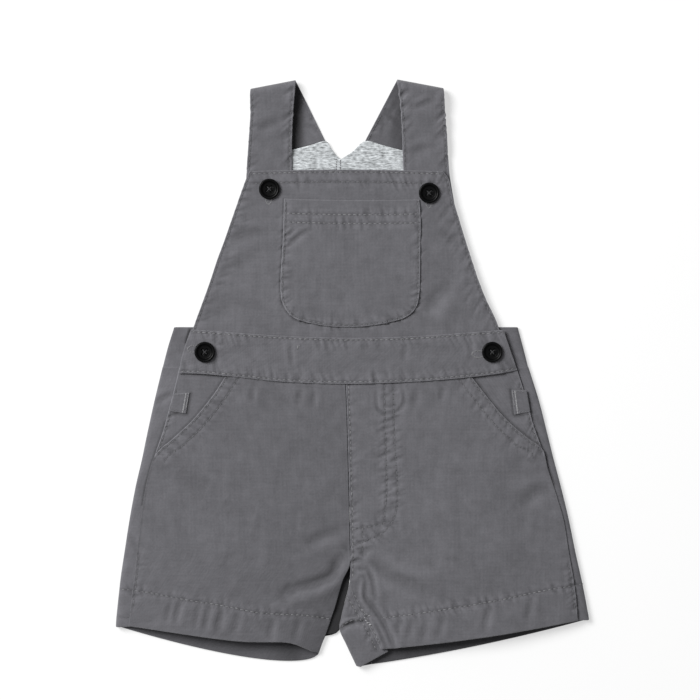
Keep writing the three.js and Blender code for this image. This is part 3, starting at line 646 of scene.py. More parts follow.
HEM_WRAP_LEFT = ((-168.9, -157.4), (-161.5, -158.2))
HEM_WRAP_RIGHT = ((164.2, -154.3), (168.4, -153.6))
HEM_WRAP_INNER = ((-8.4, -185.6), (-1.9, -180.6), (7.8, -179.9))
INSEAM_ROW = ((-4.2, -162.4), (2.2, -173.2), (7.4, -182), (12, -190.4), (17.4, -201.8))
WRAP_FOLDS = [
    (((-146, -22), (-138, -18), (-131, -14)), 2.4, 0.6),
    (((-162, -118), (-158, -128), (-159, -141)), 3, 0.5),
    (((133, -30), (140, -40)), 2.6, 0.5),
    (((160, -104), (163, -122)), 2.6, 0.4),
    (((-9.8, -188), (-5, -184), (1, -182), (9, -181.4)), 1.5, 2.3),
]
wrap_left_rows = [curve(HEM_WRAP_LEFT)]
wrap_right_rows = [curve(HEM_WRAP_RIGHT)]
wrap_inner_rows = [curve(HEM_WRAP_INNER), curve(INSEAM_ROW)]


def rippled(rows, folds=(), seed=1, faint=(), **pull):
    """Relief of a panel: the slow waves, its folds, the puckers of its rows of stitches with the
    sizes given, and fainter ones along lines where only the allowance under the cloth ends."""

    def relief(x, y):
        height = slow_waves(x, y)
        for k, line in enumerate(rows):
            height = height + pucker(x, y, line, seed + 10 * k, **pull)
        for k, line in enumerate(faint):
            height = height + pucker(x, y, line, seed + 500 + 10 * k, height=0.45, reach=5, pinch=0)
        for crease in folds:
            height = height + fold(x, y, *crease)
        return height

    return relief


def shade_edge(grid, line, width=0.9, depth=2.4):
    """Paints shade on a laid grid beside a line, where cloth meets cloth, or with less than no
    depth paints a pale highlight there."""
    away = beside(grid["points"][..., 0], grid["points"][..., 1], line)[0]
    grid["wear_and_painted_light"] = grid["wear_and_painted_light"] - depth * np.exp(-(away / width) ** 2)


# Painted shade along the side seams, where front and wrap meet
SEAM_LINE = 0.8
SEAM_SHADE = 3
SEAM_SHADE_LEFT = ((-136.9, -36), (-139.8, -45), (-145.8, -63), (-151.1, -82), (-153.6, -96))
SEAM_SHADE_RIGHT = ((120, 2), (127.7, -20), (134.1, -42), (141.3, -63), (147.2, -81))


def back_panel(sizes, lap_and_skew, steps, rows, seed, hem_start):
    """A folded panel of the back, its hem thicker from a share of its rows on."""
    grid = lay_out(folded_panel(sizes, *lap_and_skew), steps)
    grid = ready(grid, CLOTH, rippled(rows, WRAP_FOLDS, seed))
    grid["thickness"] = hem_thickness(grid, hem_start)
    # Painted shade on the floor stretch, under the front
    grid["inside"] = painted_inner_shade(grid)
    return grid


back_left = back_panel(
    BACK_LEG_LEFT, (SEAM_LAP, LEFT_SKEW), WRAP_GRAINS, wrap_left_rows, seed=20, hem_start=0.74,
)
back_right = back_panel(
    BACK_LEG_RIGHT, (SEAM_LAP,), WRAP_GRAINS, wrap_right_rows, seed=30, hem_start=0.76,
)
inner_wrap = back_panel(
    INNER_WRAP, (INSEAM_LAP,), INNER_GRAINS, wrap_inner_rows, seed=40, hem_start=0.5,
)
# Painted highlight on the left wrap past its fold
back_left["wear_and_painted_light"] = back_left["wear_and_painted_light"] + WRAP_PAINTED_HIGHLIGHT * (back_left["q"] > PAST_FOLD)
# Painted shade beside each side seam
for grid, line in ((back_left, SEAM_SHADE_LEFT), (back_right, SEAM_SHADE_RIGHT)):
    shade_edge(grid, curve(line), SEAM_LINE, SEAM_SHADE)
cloth_piece("leg_back_left", "back_leg_left", [back_left], wrap_left_rows)
right_sheets = [back_right, inner_wrap]
cloth_piece("leg_back_right", "back_leg_right", right_sheets, wrap_right_rows + wrap_inner_rows)

# Back waistband
# One band of the same cloth, 29 mm wide, that comes round both sides and lies under the front
# band, where it is buttoned.
WAIST_SEAM = 4.5
WAIST_TOP = 33.5
WRAP_TOP = 3.2
BACK_WAISTBAND = table(
    "y left_fold right_fold left_end right_end",
    (WAIST_TOP, -130, 120.5, -96, 90),
    ((WAIST_TOP + WAIST_SEAM) / 2, -134.6, 124.4, -96, 90),
    (WAIST_SEAM, -138.3, 128.1, -97, 91),
)
BAND_GRAINS = (GRAIN, FOLD_GRAIN, FLOOR_GRAIN, FOLD_GRAIN, GRAIN)
# Line of the painted shade at the back band's left end, its depth and width
END_GAP = ((-118.6, 31.5), (-120.3, 27), (-121.2, 22))
GAP_SHADE = 2.2
GAP_WIDTH = 1.1


def band_surface(t, q):
    """A band from its left end on top, down round the left fold, along the surface, up round
    the right fold and back on top: five stretches of q."""
    row = read(BACK_WAISTBAND, t)
    radius = WRAP_TOP / 2
    left = row["left_fold"] + radius
    right = row["right_fold"] - radius
    angle = np.pi * (0.5 + np.clip(q - 1, 0, 1) + np.clip(q - 3, 0, 1))
    swing = radius * np.cos(angle)
    x = row["left_end"] + np.clip(q, 0, 1) * (left - row["left_end"])
    x = x + np.clip(q - 2, 0, 1) * (right - left) + swing * (((q > 1) & (q < 2)) | ((q > 3) & (q < 4)))
    x = x + np.clip(q - 4, 0, 1) * (row["right_end"] - right)
    return np.stack([x, row["y"] + 0 * q, radius + radius * np.sin(angle)], -1)


band_back = ready(lay_out(band_surface, BAND_GRAINS), CLOTH, slow_waves)
# Painted shade along the gap beside the front band's left end
x, y = band_back["points"][..., 0], band_back["points"][..., 1]
from_gap = beside(x, y, curve(END_GAP))[0]
band_back["inside"] = GAP_SHADE * np.exp(-(from_gap / GAP_WIDTH) ** 2)
cloth_piece("waistband_behind", "waistband_back", [band_back])

# Back bib and its facing
# The back bib lies on the surface from the waistband to the straps. A facing of pale marl
# jersey lines its top and shows at the neck, with a seam down its middle.
BACK_BIB_FOOT = 33.8
BACK_BIB_GRAIN = 2.0
LINING_TOP = 2.3
LINING_DEPTH = 0.34
LIFT_PLACE = 0.165
LIFT_SHARPNESS = 3
MARL = (0.465, 0.487, 0.5)
BACK_BIB = table(
    "a_x a_y b_x bow_x",
    (-52.4, 160.7, -108, 7),
    (-43.7, 163, -84, 4),
    (-32, 165.8, -62, 2),
    (-19.9, 169.2, -40, 0),
    (-15.5, 163.8, -30, 0),
    (-11.4, 158.4, -18, 0),
    (-8.4, 156.3, -8, 0),
    (-5.5, 157.9, 2, 0),
    (0, 161.5, 12, 0),
    (9.3, 169.2, 30, 0),
    (22, 166.2, 54, -2),
    (31, 163.8, 74, -4),
    (44.7, 160.3, 98, -7),
)
BACK_BIB["b_y"] = 0 * BACK_BIB["a_y"] + BACK_BIB_FOOT


def lift_at(u):
    """Share of a lifted hem's lift: rises to 1 near the inner edge and dies out beyond."""
    return (u / LIFT_PLACE * np.exp(1 - u / LIFT_PLACE)) ** LIFT_SHARPNESS


def flat_panel(sizes, height, depth=1.0):
    """A panel between the edges a and b of its rows: a point is a share u of the way across,
    its middle moved by the row's bow, and a lifted hem raised, at the height that
    height(x, y, u, row) gives."""

    def surface(t, q):
        row = read(sizes, t)
        u = q * depth
        arch = 4 * u * (1 - u)
        x = row["a_x"] + u * (row["b_x"] - row["a_x"]) + row.get("bow_x", 0) * arch
        y = row["a_y"] + u * (row["b_y"] - row["a_y"]) - row.get("bow_y", 0) * arch
        y = y + row.get("lift", 0) * lift_at(u)
        return np.stack([x, y, height(x, y, u, row)], -1)

    return surface


def level(top):
    """The same height all over a panel."""
    return lambda x, y, u, row: top + 0 * x


def marl():
    """Pale grey marl jersey: fine upright ribs of stitches, dark and light fibres in streaks."""
    finish = Finish("marl_jersey", Roughness=0.9, Specular_IOR_Level=0.2, Sheen_Weight=0.3)
    place = finish.node("UVMap", {"uv_map": "cloth"})
    u = finish.node("SeparateXYZ", {}, {0: place}, 0)
    v = finish.node("SeparateXYZ", {}, {0: place}, 1)
    rib = (u * (math.pi / (0.9 * MM))).sine().size()
    course = (v * (2 * math.pi / (0.8 * MM)) + rib * 2.0).sine()
    fibre = finish.noise(place, (170, 720, 1), 3.0)
    fleck = finish.noise(place, (340, 1050, 1), 2.0)
    cloud = finish.noise(place, (120, 160, 1), 2.0)
    finish.paint(MARL, 1.0 + fibre * 0.85 + fleck * 1.2 + cloud * 0.4 + (rib - 0.6) * 0.06)
    finish.raise_by(rib * 0.05 + course * 0.03 + fibre * 0.02)
    return finish.material


back_bib = ready(lay_out(flat_panel(BACK_BIB, level(CLOTH)), (FLOOR_GRAIN,), BACK_BIB_GRAIN))
facing = ready(lay_out(flat_panel(BACK_BIB, level(LINING_TOP), LINING_DEPTH)))
for grid in (back_bib, facing):
    grid["map"] = grid["flat"][..., :2]
cloth_piece("bib_back", "back_bib", [back_bib])
cloth_piece(
    "bib_back_facing", "back_bib_facing", [facing], finish=marl(),
)

# Hip facings
# The cloth that shows inside each slanted pocket opening, caught in the side seam.
FACING_TOP = 4.5
HIP_LEFT = table(
    "a_x b_x a_y",
    (-126.2, -76, 4),
    (-130.3, -86, -13.7),
    (-134, -97, -27.7),
    (-137.8, -110, -41.7),
    (-143.2, -126, -57.5),
    (-144.7, -131, -62),
)
HIP_RIGHT = table(
    "a_x b_x a_y",
    (119.6, 70, 4),
    (124.7, 80.5, -11.9),
    (128.9, 92, -26.8),
    (132.6, 105, -39.9),
    (138.4, 124, -55.6),
    (140.3, 128.5, -62),
)
for sizes in (HIP_LEFT, HIP_RIGHT):
    sizes["b_y"] = sizes["a_y"]
OPENING_LEFT = (
    (-89.2, 3), (-101.2, -14.1), (-110.5, -26.2), (-119.7, -36.4), (-130.8, -46.6), (-143.8, -58.6),
)
OPENING_RIGHT = ((84.2, 2), (99.8, -17.8), (109, -29), (118.2, -38.3), (129.4, -47.5), (139.2, -55.2))
UNDER_TAB_LEFT = (
    (-117.7, -14.5), (-118.6, -20), (-120.2, -29.2), (-121.4, -30.4), (-126, -29.6), (-131, -28.8),
)
UNDER_TAB_RIGHT = ((114.8, -12.2), (115.8, -20), (117.2, -30), (118.4, -31.4), (124, -30.4), (127, -29.6))


def inset(sizes, side, distance, start=0.0, end=1.0):
    """Line at a distance inside the a or b edge of a panel, between two shares of its length."""
    t = np.linspace(start, end, 80)
    row = read(sizes, t)
    a = np.stack([row["a_x"], row["a_y"]], -1)
    b = np.stack([row["b_x"], row["b_y"]], -1)
    across = (b - a) / np.linalg.norm(b - a, axis=1, keepdims=True)
    run = np.gradient(a if side == "a" else b, axis=0)
    lean = np.abs(across[:, 0] * run[:, 1] - across[:, 1] * run[:, 0]) / np.linalg.norm(run, axis=1)
    reach = (distance / np.maximum(lean, 0.3))[:, None]
    return a + across * reach if side == "a" else b - across * reach


ROW_INSET = 1.6
# Width of a painted pale highlight along an edge
HIGHLIGHT_LINE = 0.6
STITCH_LENGTH = 2.7
STITCH_WIDTH = 0.75
STITCH_HEIGHT = 0.5
# Size of the dark bead of painted shade at each needle hole
HOLE_SHADE = np.array([0.8, 1.25, 0.19])
STITCH_SINK = 0.12
STITCH_LIFT = 0.05
STITCH_PITCH = 3.7
CLOSE_PITCH = 2.96
STITCH_SIDES = 6
GREY, PALE, HOLE_SHADE_MARK, BLACK, SUNK = range(5)


def thread_finish(name, colour, tone=0.25):
    """Sewing thread: a fine twist, and a slight change of tone from stitch to stitch."""
    finish = Finish(name, Roughness=0.75, Specular_IOR_Level=0.3, Sheen_Weight=0.2)
    place = finish.node("TexCoord", output=OBJECT_PLACE)
    twist = finish.noise(place, (2600, 2600, 2600))
    finish.paint(colour, finish.noise(place, (260, 260, 260)) * tone + twist * 0.1 + 1.0)
    return finish.material


thread_finishes = [
    thread_finish("thread_grey", (0.195, 0.194, 0.203)),
    thread_finish("thread_pale", (0.31, 0.31, 0.32), 0.3),
    # Dark beads of painted shade at the needle holes
    thread_finish("needle_hole_shade", (0.076, 0.076, 0.08), 0.05),
    thread_finish("thread_black", (0.03, 0.03, 0.032), 0.1),
    thread_finish("thread_sunk", (0.132, 0.131, 0.141), 0.12),
]


def put_on(grid, places, side=1):
    """Points of a laid grid straight above or below places x, y, and the way its face looks there."""
    points = grid["points"]
    normal = face_up(points)
    facing_up = side * normal[..., 2] > 0.25
    if side < 0:
        points = points - normal * CLOTH
    points, normal = points[facing_up], side * normal[facing_up]
    near = np.concatenate([
        np.hypot(*(part[:, None] - points[None, :, :2]).transpose(2, 0, 1)).argmin(1)
        for part in np.array_split(places, max(len(places) // 60, 1))
    ])
    shift = places - points[near, :2]
    lift = np.clip(-(shift * normal[near, :2]).sum(1) / normal[near, 2], -STITCH_HEIGHT, STITCH_HEIGHT)
    return np.column_stack([places, points[near, 2] + lift]), normal[near]


def beads(centres, runs, normals, sizes):
    """Joined small spindles: round across, pointed at both ends, each with its own place and run."""
    rings = np.array([-0.36, 0, 0.36])
    turn = 2 * np.pi * np.arange(STITCH_SIDES) / STITCH_SIDES
    girth = np.sqrt(1 - (2 * rings) ** 2) / 2
    ring = np.stack(np.broadcast_arrays(
        rings[:, None], girth[:, None] * np.cos(turn), girth[:, None] * np.sin(turn)), -1).reshape(-1, 3)
    tips = np.array([(-0.5, 0, -STITCH_SINK), (0.5, 0, -STITCH_SINK)])
    shape = np.concatenate([tips[:1], ring, tips[1:]]) * sizes[:, None]
    sideways = np.cross(normals, runs)
    ways = np.stack([runs, sideways, normals], 1)
    vertices = centres[:, None] + np.einsum("nvk,nkc->nvc", shape, ways)
    near = 1 + np.arange(STITCH_SIDES)
    after = np.roll(near, -1)
    middle, far = near + STITCH_SIDES, near + 2 * STITCH_SIDES
    shift = after - near
    last = far[-1] + 1
    quads = np.concatenate([
        np.stack([belt, belt + shift, beyond + shift, beyond], -1)
        for belt, beyond in ((near, middle), (middle, far))
    ])
    triangles = np.concatenate([
        np.stack([0 * near, after, near], -1), np.stack([0 * near + last, far, far + shift], -1),
    ])
    offset = (np.arange(len(centres)) * (last + 1))[:, None, None]
    return vertices.reshape(-1, 3), (quads + offset).reshape(-1, 4), (triangles + offset).reshape(-1, 3)


def even_places(line, pitch, start=0.0):
    """Places a pitch apart along a line, and the line's direction at each."""
    run = lengths(line)
    at = np.arange(start + pitch / 2, run[-1], pitch)
    places = np.stack([np.interp(at, run, line[:, k]) for k in (0, 1)], -1)
    ahead = np.stack([np.interp(at + 0.4, run, line[:, k]) for k in (0, 1)], -1)
    behind = np.stack([np.interp(at - 0.4, run, line[:, k]) for k in (0, 1)], -1)
    return places, ahead - behind


def join_beads(name, groups):
    """One mesh of the given groups of beads, each with its finish number at its end."""
    vertices, faces, numbers = [], [], []
    count = 0
    for *placed, number in groups:
        points, quads, triangles = beads(*placed)
        vertices.append(points)
        faces += [quads + count, triangles + count]
        numbers.append(np.full(len(quads) + len(triangles), number))
        count += len(points)
    belongs(add_mesh(name, np.concatenate(vertices), faces, thread_finishes, np.concatenate(numbers)))


def sew(name, jobs):
    """Rows of stitches with a dark bead between each two, painted shade for the needle hole, as one
    mesh. Each job is a grid, a line, a finish number and, where they differ from a plain row's, the
    pitch, length, width, the turn of each stitch from its row in radians, and the face it is sewn on."""
    groups = []
    rng = np.random.default_rng(len(name) * 7 + len(jobs))
    for job in jobs:
        grid, line, thread = job[:3]
        plain = (STITCH_PITCH, STITCH_LENGTH, STITCH_WIDTH, 0.0, 1)
        pitch, length, width, turned, side = (*job[3:], *plain[len(job) - 3:])
        for kind in ("stitch", "hole_shade"):
            if kind == "hole_shade" and pitch < CLOSE_PITCH:
                continue
            places, runs = even_places(line, pitch, 0.0 if kind == "stitch" else pitch / 2)
            if not len(places):
                continue
            centres, normals = put_on(grid, places, side)
            runs = np.column_stack([runs, np.zeros(len(runs))])
            runs -= normals * (runs * normals).sum(1, keepdims=True)
            runs /= np.linalg.norm(runs, axis=1, keepdims=True)
            angle = turned + rng.normal(0, 0.06, len(runs))[:, None]
            runs = runs * np.cos(angle) + np.cross(normals, runs) * np.sin(angle)
            size = np.array([length, width, STITCH_HEIGHT]) if kind == "stitch" else HOLE_SHADE
            sizes = size * rng.uniform(0.72, 1.12, (len(runs), 1))
            number = thread if kind == "stitch" else HOLE_SHADE_MARK
            groups.append((centres + normals * STITCH_LIFT, runs, normals, sizes, number))
    join_beads(name, groups)


hip_jobs = []
# Each facing with the depth of the painted highlight along its seam edge and of the painted shade beside
# its opening
for name, sizes, opening, under_tab, seed, highlight, painted_dark in (
    ("left", HIP_LEFT, OPENING_LEFT, UNDER_TAB_LEFT, 50, 2, 2),
    ("right", HIP_RIGHT, OPENING_RIGHT, UNDER_TAB_RIGHT, 60, 1.6, 2.6),
):
    row = inset(sizes, "a", ROW_INSET, 0.16)
    hip = ready(lay_out(flat_panel(sizes, level(FACING_TOP))), CLOTH, rippled([row], seed=seed))
    # Painted highlight along the seam edge, painted shade beside the pocket opening and under the tab
    shade_edge(hip, inset(sizes, "a", 0.2), HIGHLIGHT_LINE, -highlight)
    shade_edge(hip, curve(opening), depth=painted_dark)
    shade_edge(hip, curve(under_tab), depth=SEAM_SHADE)
    cloth_piece("pocket_facing_" + name, "hip_facing_" + name, [hip], seams=[row])
    hip_jobs.append((hip, row, SUNK))
sew("stitches_pocket_facings", hip_jobs)

# Sewing of the back
# The hem rows that go on round the folded sides, the inseam's row on the right leg, and the
# coarse dark seam down the middle of the marl facing.
NECK_SEAM = (((-11.4, 156.4), (-11.9, 145.5)), ((-8.6, 155.6), (-8.9, 145.5)))
OVERLOCK = (1.7, 1.5, 0.9, 0.5)
hem_wraps = ((back_left, wrap_left_rows), (back_right, wrap_right_rows), (inner_wrap, wrap_inner_rows))
sew("stitches_hem_wraps", [(grid, line, GREY) for grid, rows in hem_wraps for line in rows])
sew("stitches_neck_facing", [(facing, curve(line), SUNK, *OVERLOCK) for line in NECK_SEAM])

# Front of the legs
# Two panels joined by the centre seam, cut away along the slanted pocket openings and open at
# the hems. The right one carries the curved double row that stands for a fly.
HEM_START = 0.86
CENTRE_SEAM_GAP = 0.15
INSEAM_ROLL = 5
LEG_HEADER = "a_x a_y b_x b_y in_z crown out_z"
LEG_LEFT = table(
    LEG_HEADER,
    (-5.1, -3, -88.5, 2.6, 5.8, 0, 5.8),
    (-4.9, -9, -92.6, -2.6, 5.8, 0, 5.8),
    (-4.3, -23, -100.5, -14.7, 5.8, 0, 5.8),
    (-3.8, -38, -109.9, -26.8, 5.8, 0.2, 5.8),
    (-3.4, -53, -119.1, -37, 5.8, 0.6, 5.8),
    (-3, -68, -130.3, -47.3, 5.8, 1, 5.8),
    (-2.6, -83, -143.4, -59.3, 5.8, 1.6, 5.8),
    (-2.2, -98, -149.4, -77.1, 5.8, 2.2, 5.4),
    (-1.9, -112, -152.2, -92.7, 5.8, 3, 5.5),
    (-1.7, -126, -154.6, -111, 5.8, 3.7, 5.7),
    (-1.6, -139.5, -157, -130.2, 5.6, 4.3, 6),
    (-7, -152.1, -158.6, -146, 3.8, 4.9, 6.4),
    (-12.6, -171.2, -160.6, -162, 3.6, 5.4, 7.2),
    (-18.5, -189, -162, -175, 3.6, 5.7, 7.5),
    (-24.6, -204, -162.9, -184.2, 3.6, 5.9, 7.6),
)
LEG_RIGHT = table(
    LEG_HEADER + " bow_y",
    (-5.1, -3, 83.5, 1.6, 5.8, 0, 5.8, 0),
    (-4.9, -9, 87.5, -3.5, 5.8, 0, 5.8, 0),
    (-4.3, -24, 99.1, -18.4, 5.8, 0, 5.8, 0),
    (-3.8, -38, 108.4, -29.6, 5.8, 0.2, 5.8, 0),
    (-3.4, -53, 117.7, -38.9, 5.8, 0.6, 5.8, 0),
    (-3, -68, 128.9, -48.2, 5.8, 1, 5.8, 0),
    (-2.6, -84, 138.7, -55.8, 5.8, 1.6, 5.8, 0),
    (-2.2, -99, 142.5, -70, 5.8, 2.2, 5.0, 0),
    (-1.9, -113, 148.2, -87, 5.8, 3, 4.8, 0),
    (-1.7, -128, 154.2, -108, 5.8, 3.7, 5.1, 0),
    (-1.6, -142, 157.7, -130.2, 5.8, 4.3, 5.5, 0),
    (-1.8, -155, 160.5, -146, 6.1, 4.8, 5.9, 0),
    (3.2, -169.5, 162.5, -159, 6.6, 5, 6.5, 0),
    (10.3, -181.2, 163.5, -169, 7.6, 5, 7.1, 0),
    (14.7, -190, 164, -175.5, 7.8, 5, 7.3, 0),
    (20.4, -201.2, 164.4, -180.2, 7.9, 5, 7.4, 2),
)

# The front's largest creases: points of the curve, half width, depth and the ridge beside it
LEG_FOLDS = [
    (((-5.9, -111.8), (-16, -115.6), (-26.9, -119.9), (-36, -127)), 4.6, 1.1),
    (
        ((-4.8, -129.2), (-10.6, -137.4), (-15.3, -146.7), (-26.9, -152.5), (-39.7, -156), (-50.2, -162.4)),
        4.6, 3.0,
    ),
    (((-43.4, -151.8), (-52.9, -162.4)), 4, 0.7),
    (((-128, -70), (-116, -79), (-104, -85)), 8, 0.9),
    (((-94, -92), (-82, -100), (-70, -104)), 9, 1.0),
    (((9.9, -135), (27.4, -146.7), (43.4, -153.7), (63.1, -160.6)), 6, 1.9),
    (((119.4, -95.6), (132.1, -87.3), (146, -83.8)), 5.5, 1.4),
    (((-73, -10), (-74.2, -22)), 2.6, 0.6),
    (((-38, -11), (-40.5, -24)), 2.6, 0.7),
    (((-28, -11), (-29.5, -27)), 2.4, 0.6),
    (((46, -10), (44.5, -24)), 2.6, 0.5),
    (((66, -9), (63.5, -20)), 2.4, 0.5),
]

# Creases of the right leg's inseam and fly: the felled seam's ridges, and the pulls beside them
INSEAM_CREASES = [
    (((7, -151), (6.4, -161.3), (8.1, -166.7), (11.4, -171.5), (16.1, -175)), 1.5, -1.3, 0.5),
    (((13.3, -177.6), (14.5, -182.4), (19.9, -194.5), (22, -203)), 1.5, -1.0, 0.4),
    (((10.2, -141.9), (13.3, -147.3), (15.1, -153.4), (16.3, -164.3)), 1.8, 1.2, 0.4),
    (((13.5, -166), (16.3, -172.8), (21.1, -179.4), (26, -188.5), (30, -199)), 2.1, 2.2, 0.3),
    (((-0.5, -136), (8, -136.4)), 1.5, 0.7, 0.4),
    (((1.8, -145), (10.2, -145.4)), 1.4, -0.5, 0.5),
    (
        (
            (17.6, -8.5), (17.2, -17), (18, -25), (21.5, -28.6), (26.5, -29.6), (32.3, -27.6),
            (36.6, -23.4), (37.7, -17.5), (35.8, -9),
        ),
        1.5, 0.75, 0.4,
    ),
]
HEM_FOLDS_LEFT = (-134, -128, -113.6, -106.5, -96.7, -85, -59.5, -41)
HEM_FOLDS_RIGHT = (32, 40.5, 52, 64, 97, 128)
HEM_FOLD = 2.8
HEM_LIFT = 4.7
LIFT_SHARES = np.array([0.2, 0.5, 1])
LIFT_HEIGHT = 0.5


def hem_folds(places, row, depth):
    """Soft slanting folds that run from the hem's row of stitches to its edge, one at each place."""
    line = curve(row)
    order = line[:, 0].argsort()
    tops = np.interp(places, line[order, 0], line[order, 1])
    depths = depth * np.random.default_rng(len(places)).uniform(0.4, 1.2, len(places))
    return [
        (((x + 2, y - 1), (x, y - 10), (x - 2.5, y - 20)), HEM_FOLD, deep)
        for x, y, deep in zip(places, tops, depths)
    ]


def leg_height(x, y, u, row):
    """Height across a leg: a line between its two edges with a crown between them, rolled down
    to a low inner edge or raised to a high one."""
    base = FRONT_TOP + u * (row["out_z"] - FRONT_TOP) + row["crown"] * np.sin(np.pi * u)
    width = np.abs(row["b_x"] - row["a_x"])
    rolled = row["in_z"] + (base - row["in_z"]) * (1 - np.exp(-u * width / INSEAM_ROLL))
    raised = base + (row["in_z"] - FRONT_TOP) * (1 - u) ** 3
    lifted = LIFT_HEIGHT * row.get("lift", 0) * lift_at(u)
    return np.where(row["in_z"] < FRONT_TOP, rolled, raised) + lifted


FLY_OUTER = (
    (29.6, -8), (30.3, -36), (31.7, -66), (32.9, -86), (32.1, -99), (28.2, -109.5), (20.4, -117.3),
    (10.2, -121.7), (0, -126.1),
)
FLY_INNER = ((23.4, -8), (23.8, -36), (24.6, -66), (24.8, -88), (23.6, -101), (23.7, -108.2))
FLY_BAR = ((-0.1, -113.5), (12.3, -111.7), (24.5, -108.8))
HEM_ROW_LEFT = (
    (-158.8, -158.4), (-149.1, -159.5), (-125.6, -164), (-92.7, -169.2), (-66.6, -174.3), (-34.3, -176.3),
    (-16.1, -179.4),
)
HEM_ROW_RIGHT = (
    (21.2, -178.3), (46, -175), (74.5, -170.6), (108.6, -164.7), (137.2, -158.7), (161.2, -154.8),
)
FLY_FOOT = ((7.5, -112), (7.3, -121), (7.5, -131))

leg_left_sizes = dict(LEG_LEFT, a_x=LEG_LEFT["a_x"] - CENTRE_SEAM_GAP)
leg_left_sizes["lift"] = np.zeros(len(LEG_LEFT["a_x"]))
leg_left_sizes["lift"][-len(LIFT_SHARES):] = HEM_LIFT * LIFT_SHARES
leg_right_sizes = dict(LEG_RIGHT, a_x=LEG_RIGHT["a_x"] + CENTRE_SEAM_GAP)
leg_left_rows = [
    curve(HEM_ROW_LEFT),
    inset(leg_left_sizes, "b", 1.5, 0.05, 0.43), inset(leg_left_sizes, "b", 8.5, 0.05, 0.44),
    inset(leg_left_sizes, "b", 1.9, 0.72, 0.9),
]
leg_right_rows = [
    curve(HEM_ROW_RIGHT),
    inset(leg_right_sizes, "b", 1.5, 0.05, 0.41), inset(leg_right_sizes, "b", 8.5, 0.05, 0.42),
    inset(leg_right_sizes, "b", 1.9, 0.7, 0.9),
    inset(leg_right_sizes, "a", 1.9, 0.03, 0.7), curve(FLY_OUTER), curve(FLY_INNER), curve(FLY_BAR),
    inset(leg_right_sizes, "a", 1.6, 0.76, 0.98), curve(FLY_FOOT),
]
LEG_PULL = {"pitch": 2.7, "reach": 4.4, "lean": 0.12, "height": 0.95}
# Painted shade all over the left front leg, which catches more of the lamp's light
LEG_SHADE = 0.17
left_folds = LEG_FOLDS + hem_folds(HEM_FOLDS_LEFT, HEM_ROW_LEFT, 0.9)
right_folds = LEG_FOLDS + INSEAM_CREASES + hem_folds(HEM_FOLDS_RIGHT, HEM_ROW_RIGHT, 0.6)
# Edges painted with the shade of what they meet, or with a pale highlight where the depth is below nothing:
# a side, where it starts and ends, a width and a depth
EDGES_LEFT = (("b", 0.44, 0.72, 0.9, 3.4), ("b", 0.72, 1, 0.9, 2), ("b", 0, 0.43, 0.7, -2.4))
EDGES_RIGHT = (("b", 0.42, 0.62, 0.9, 0.8), ("a", 0.66, 0.82, 0.9, 1.8))
PALER_LEFT = (0,)
PALER_RIGHT = (0, 4, 8)
COARSE = (2.1, 2.2, 1.0, 0.7)
COARSE_GREY = ((6.9, -171.6), (10, -175.2), (13.6, -177.4))
COARSE_PALE = ((8.6, -177.2), (10.4, -181), (13.4, -183.4))


def leg_front(name, sizes, rows, folds, seed, shade, edges):
    """A front panel with its thick hem, edges painted with shade or highlight, and as much painted shade
    all over as stated.
    """
    relief = rippled(rows, folds, seed, **LEG_PULL)
    leg = ready(lay_out(flat_panel(sizes, leg_height)), CLOTH, relief)
    leg["thickness"] = hem_thickness(leg, HEM_START)
    leg["inside"] = shade + leg["inside"]
    for side, start, end, width, depth in edges:
        shade_edge(leg, inset(sizes, side, 0, start, end), width, depth)
    cloth_piece("leg_front_" + name, "front_leg_" + name, [leg], seams=rows)
    return leg


leg_left = leg_front("left", leg_left_sizes, leg_left_rows, left_folds, 70, LEG_SHADE, EDGES_LEFT)
leg_right = leg_front("right", leg_right_sizes, leg_right_rows, right_folds, 80, 0, EDGES_RIGHT)
for name, leg, rows, paler in (
    ("left", leg_left, leg_left_rows, PALER_LEFT), ("right", leg_right, leg_right_rows, PALER_RIGHT),
):
    jobs = [(leg, line, GREY if k in paler else SUNK) for k, line in enumerate(rows)]
    sew("stitches_leg_" + name, jobs)
sew("stitches_inseam", [
    (leg_right, curve(COARSE_GREY), GREY, *COARSE), (leg_right, curve(COARSE_PALE), PALE, *COARSE),
])

# Side tabs
# A short tab of doubled cloth in each side seam, closed by a pale bar tack at its inner end.
TAB_LEFT = table("a_x a_y b_x b_y", (-129.9, -15, -118.4, -14.2), (-132.9, -28, -121.1, -29.4))
TAB_RIGHT = table("a_x a_y b_x b_y", (127, -12.6, 115.6, -12.2), (129.6, -28.2, 117.9, -30.5))
TAB_GRAIN = 0.7
TAB_PITCH = (2.2, 1.7, 0.6)
BAR_TACK = (0.55, 1.3, 0.6, math.pi / 2)
EDGE_TACK = (0.55, 0.7, 0.5, math.pi / 2)


def frame_row(sizes, distance):
    """Line at a distance inside both sides and the end of a short tab, open at its root."""
    near = inset(sizes, "a", distance, 0.12, 0.88)
    far = inset(sizes, "b", distance, 0.12, 0.88)
    return np.concatenate([near[:1], far, near[-1:]])


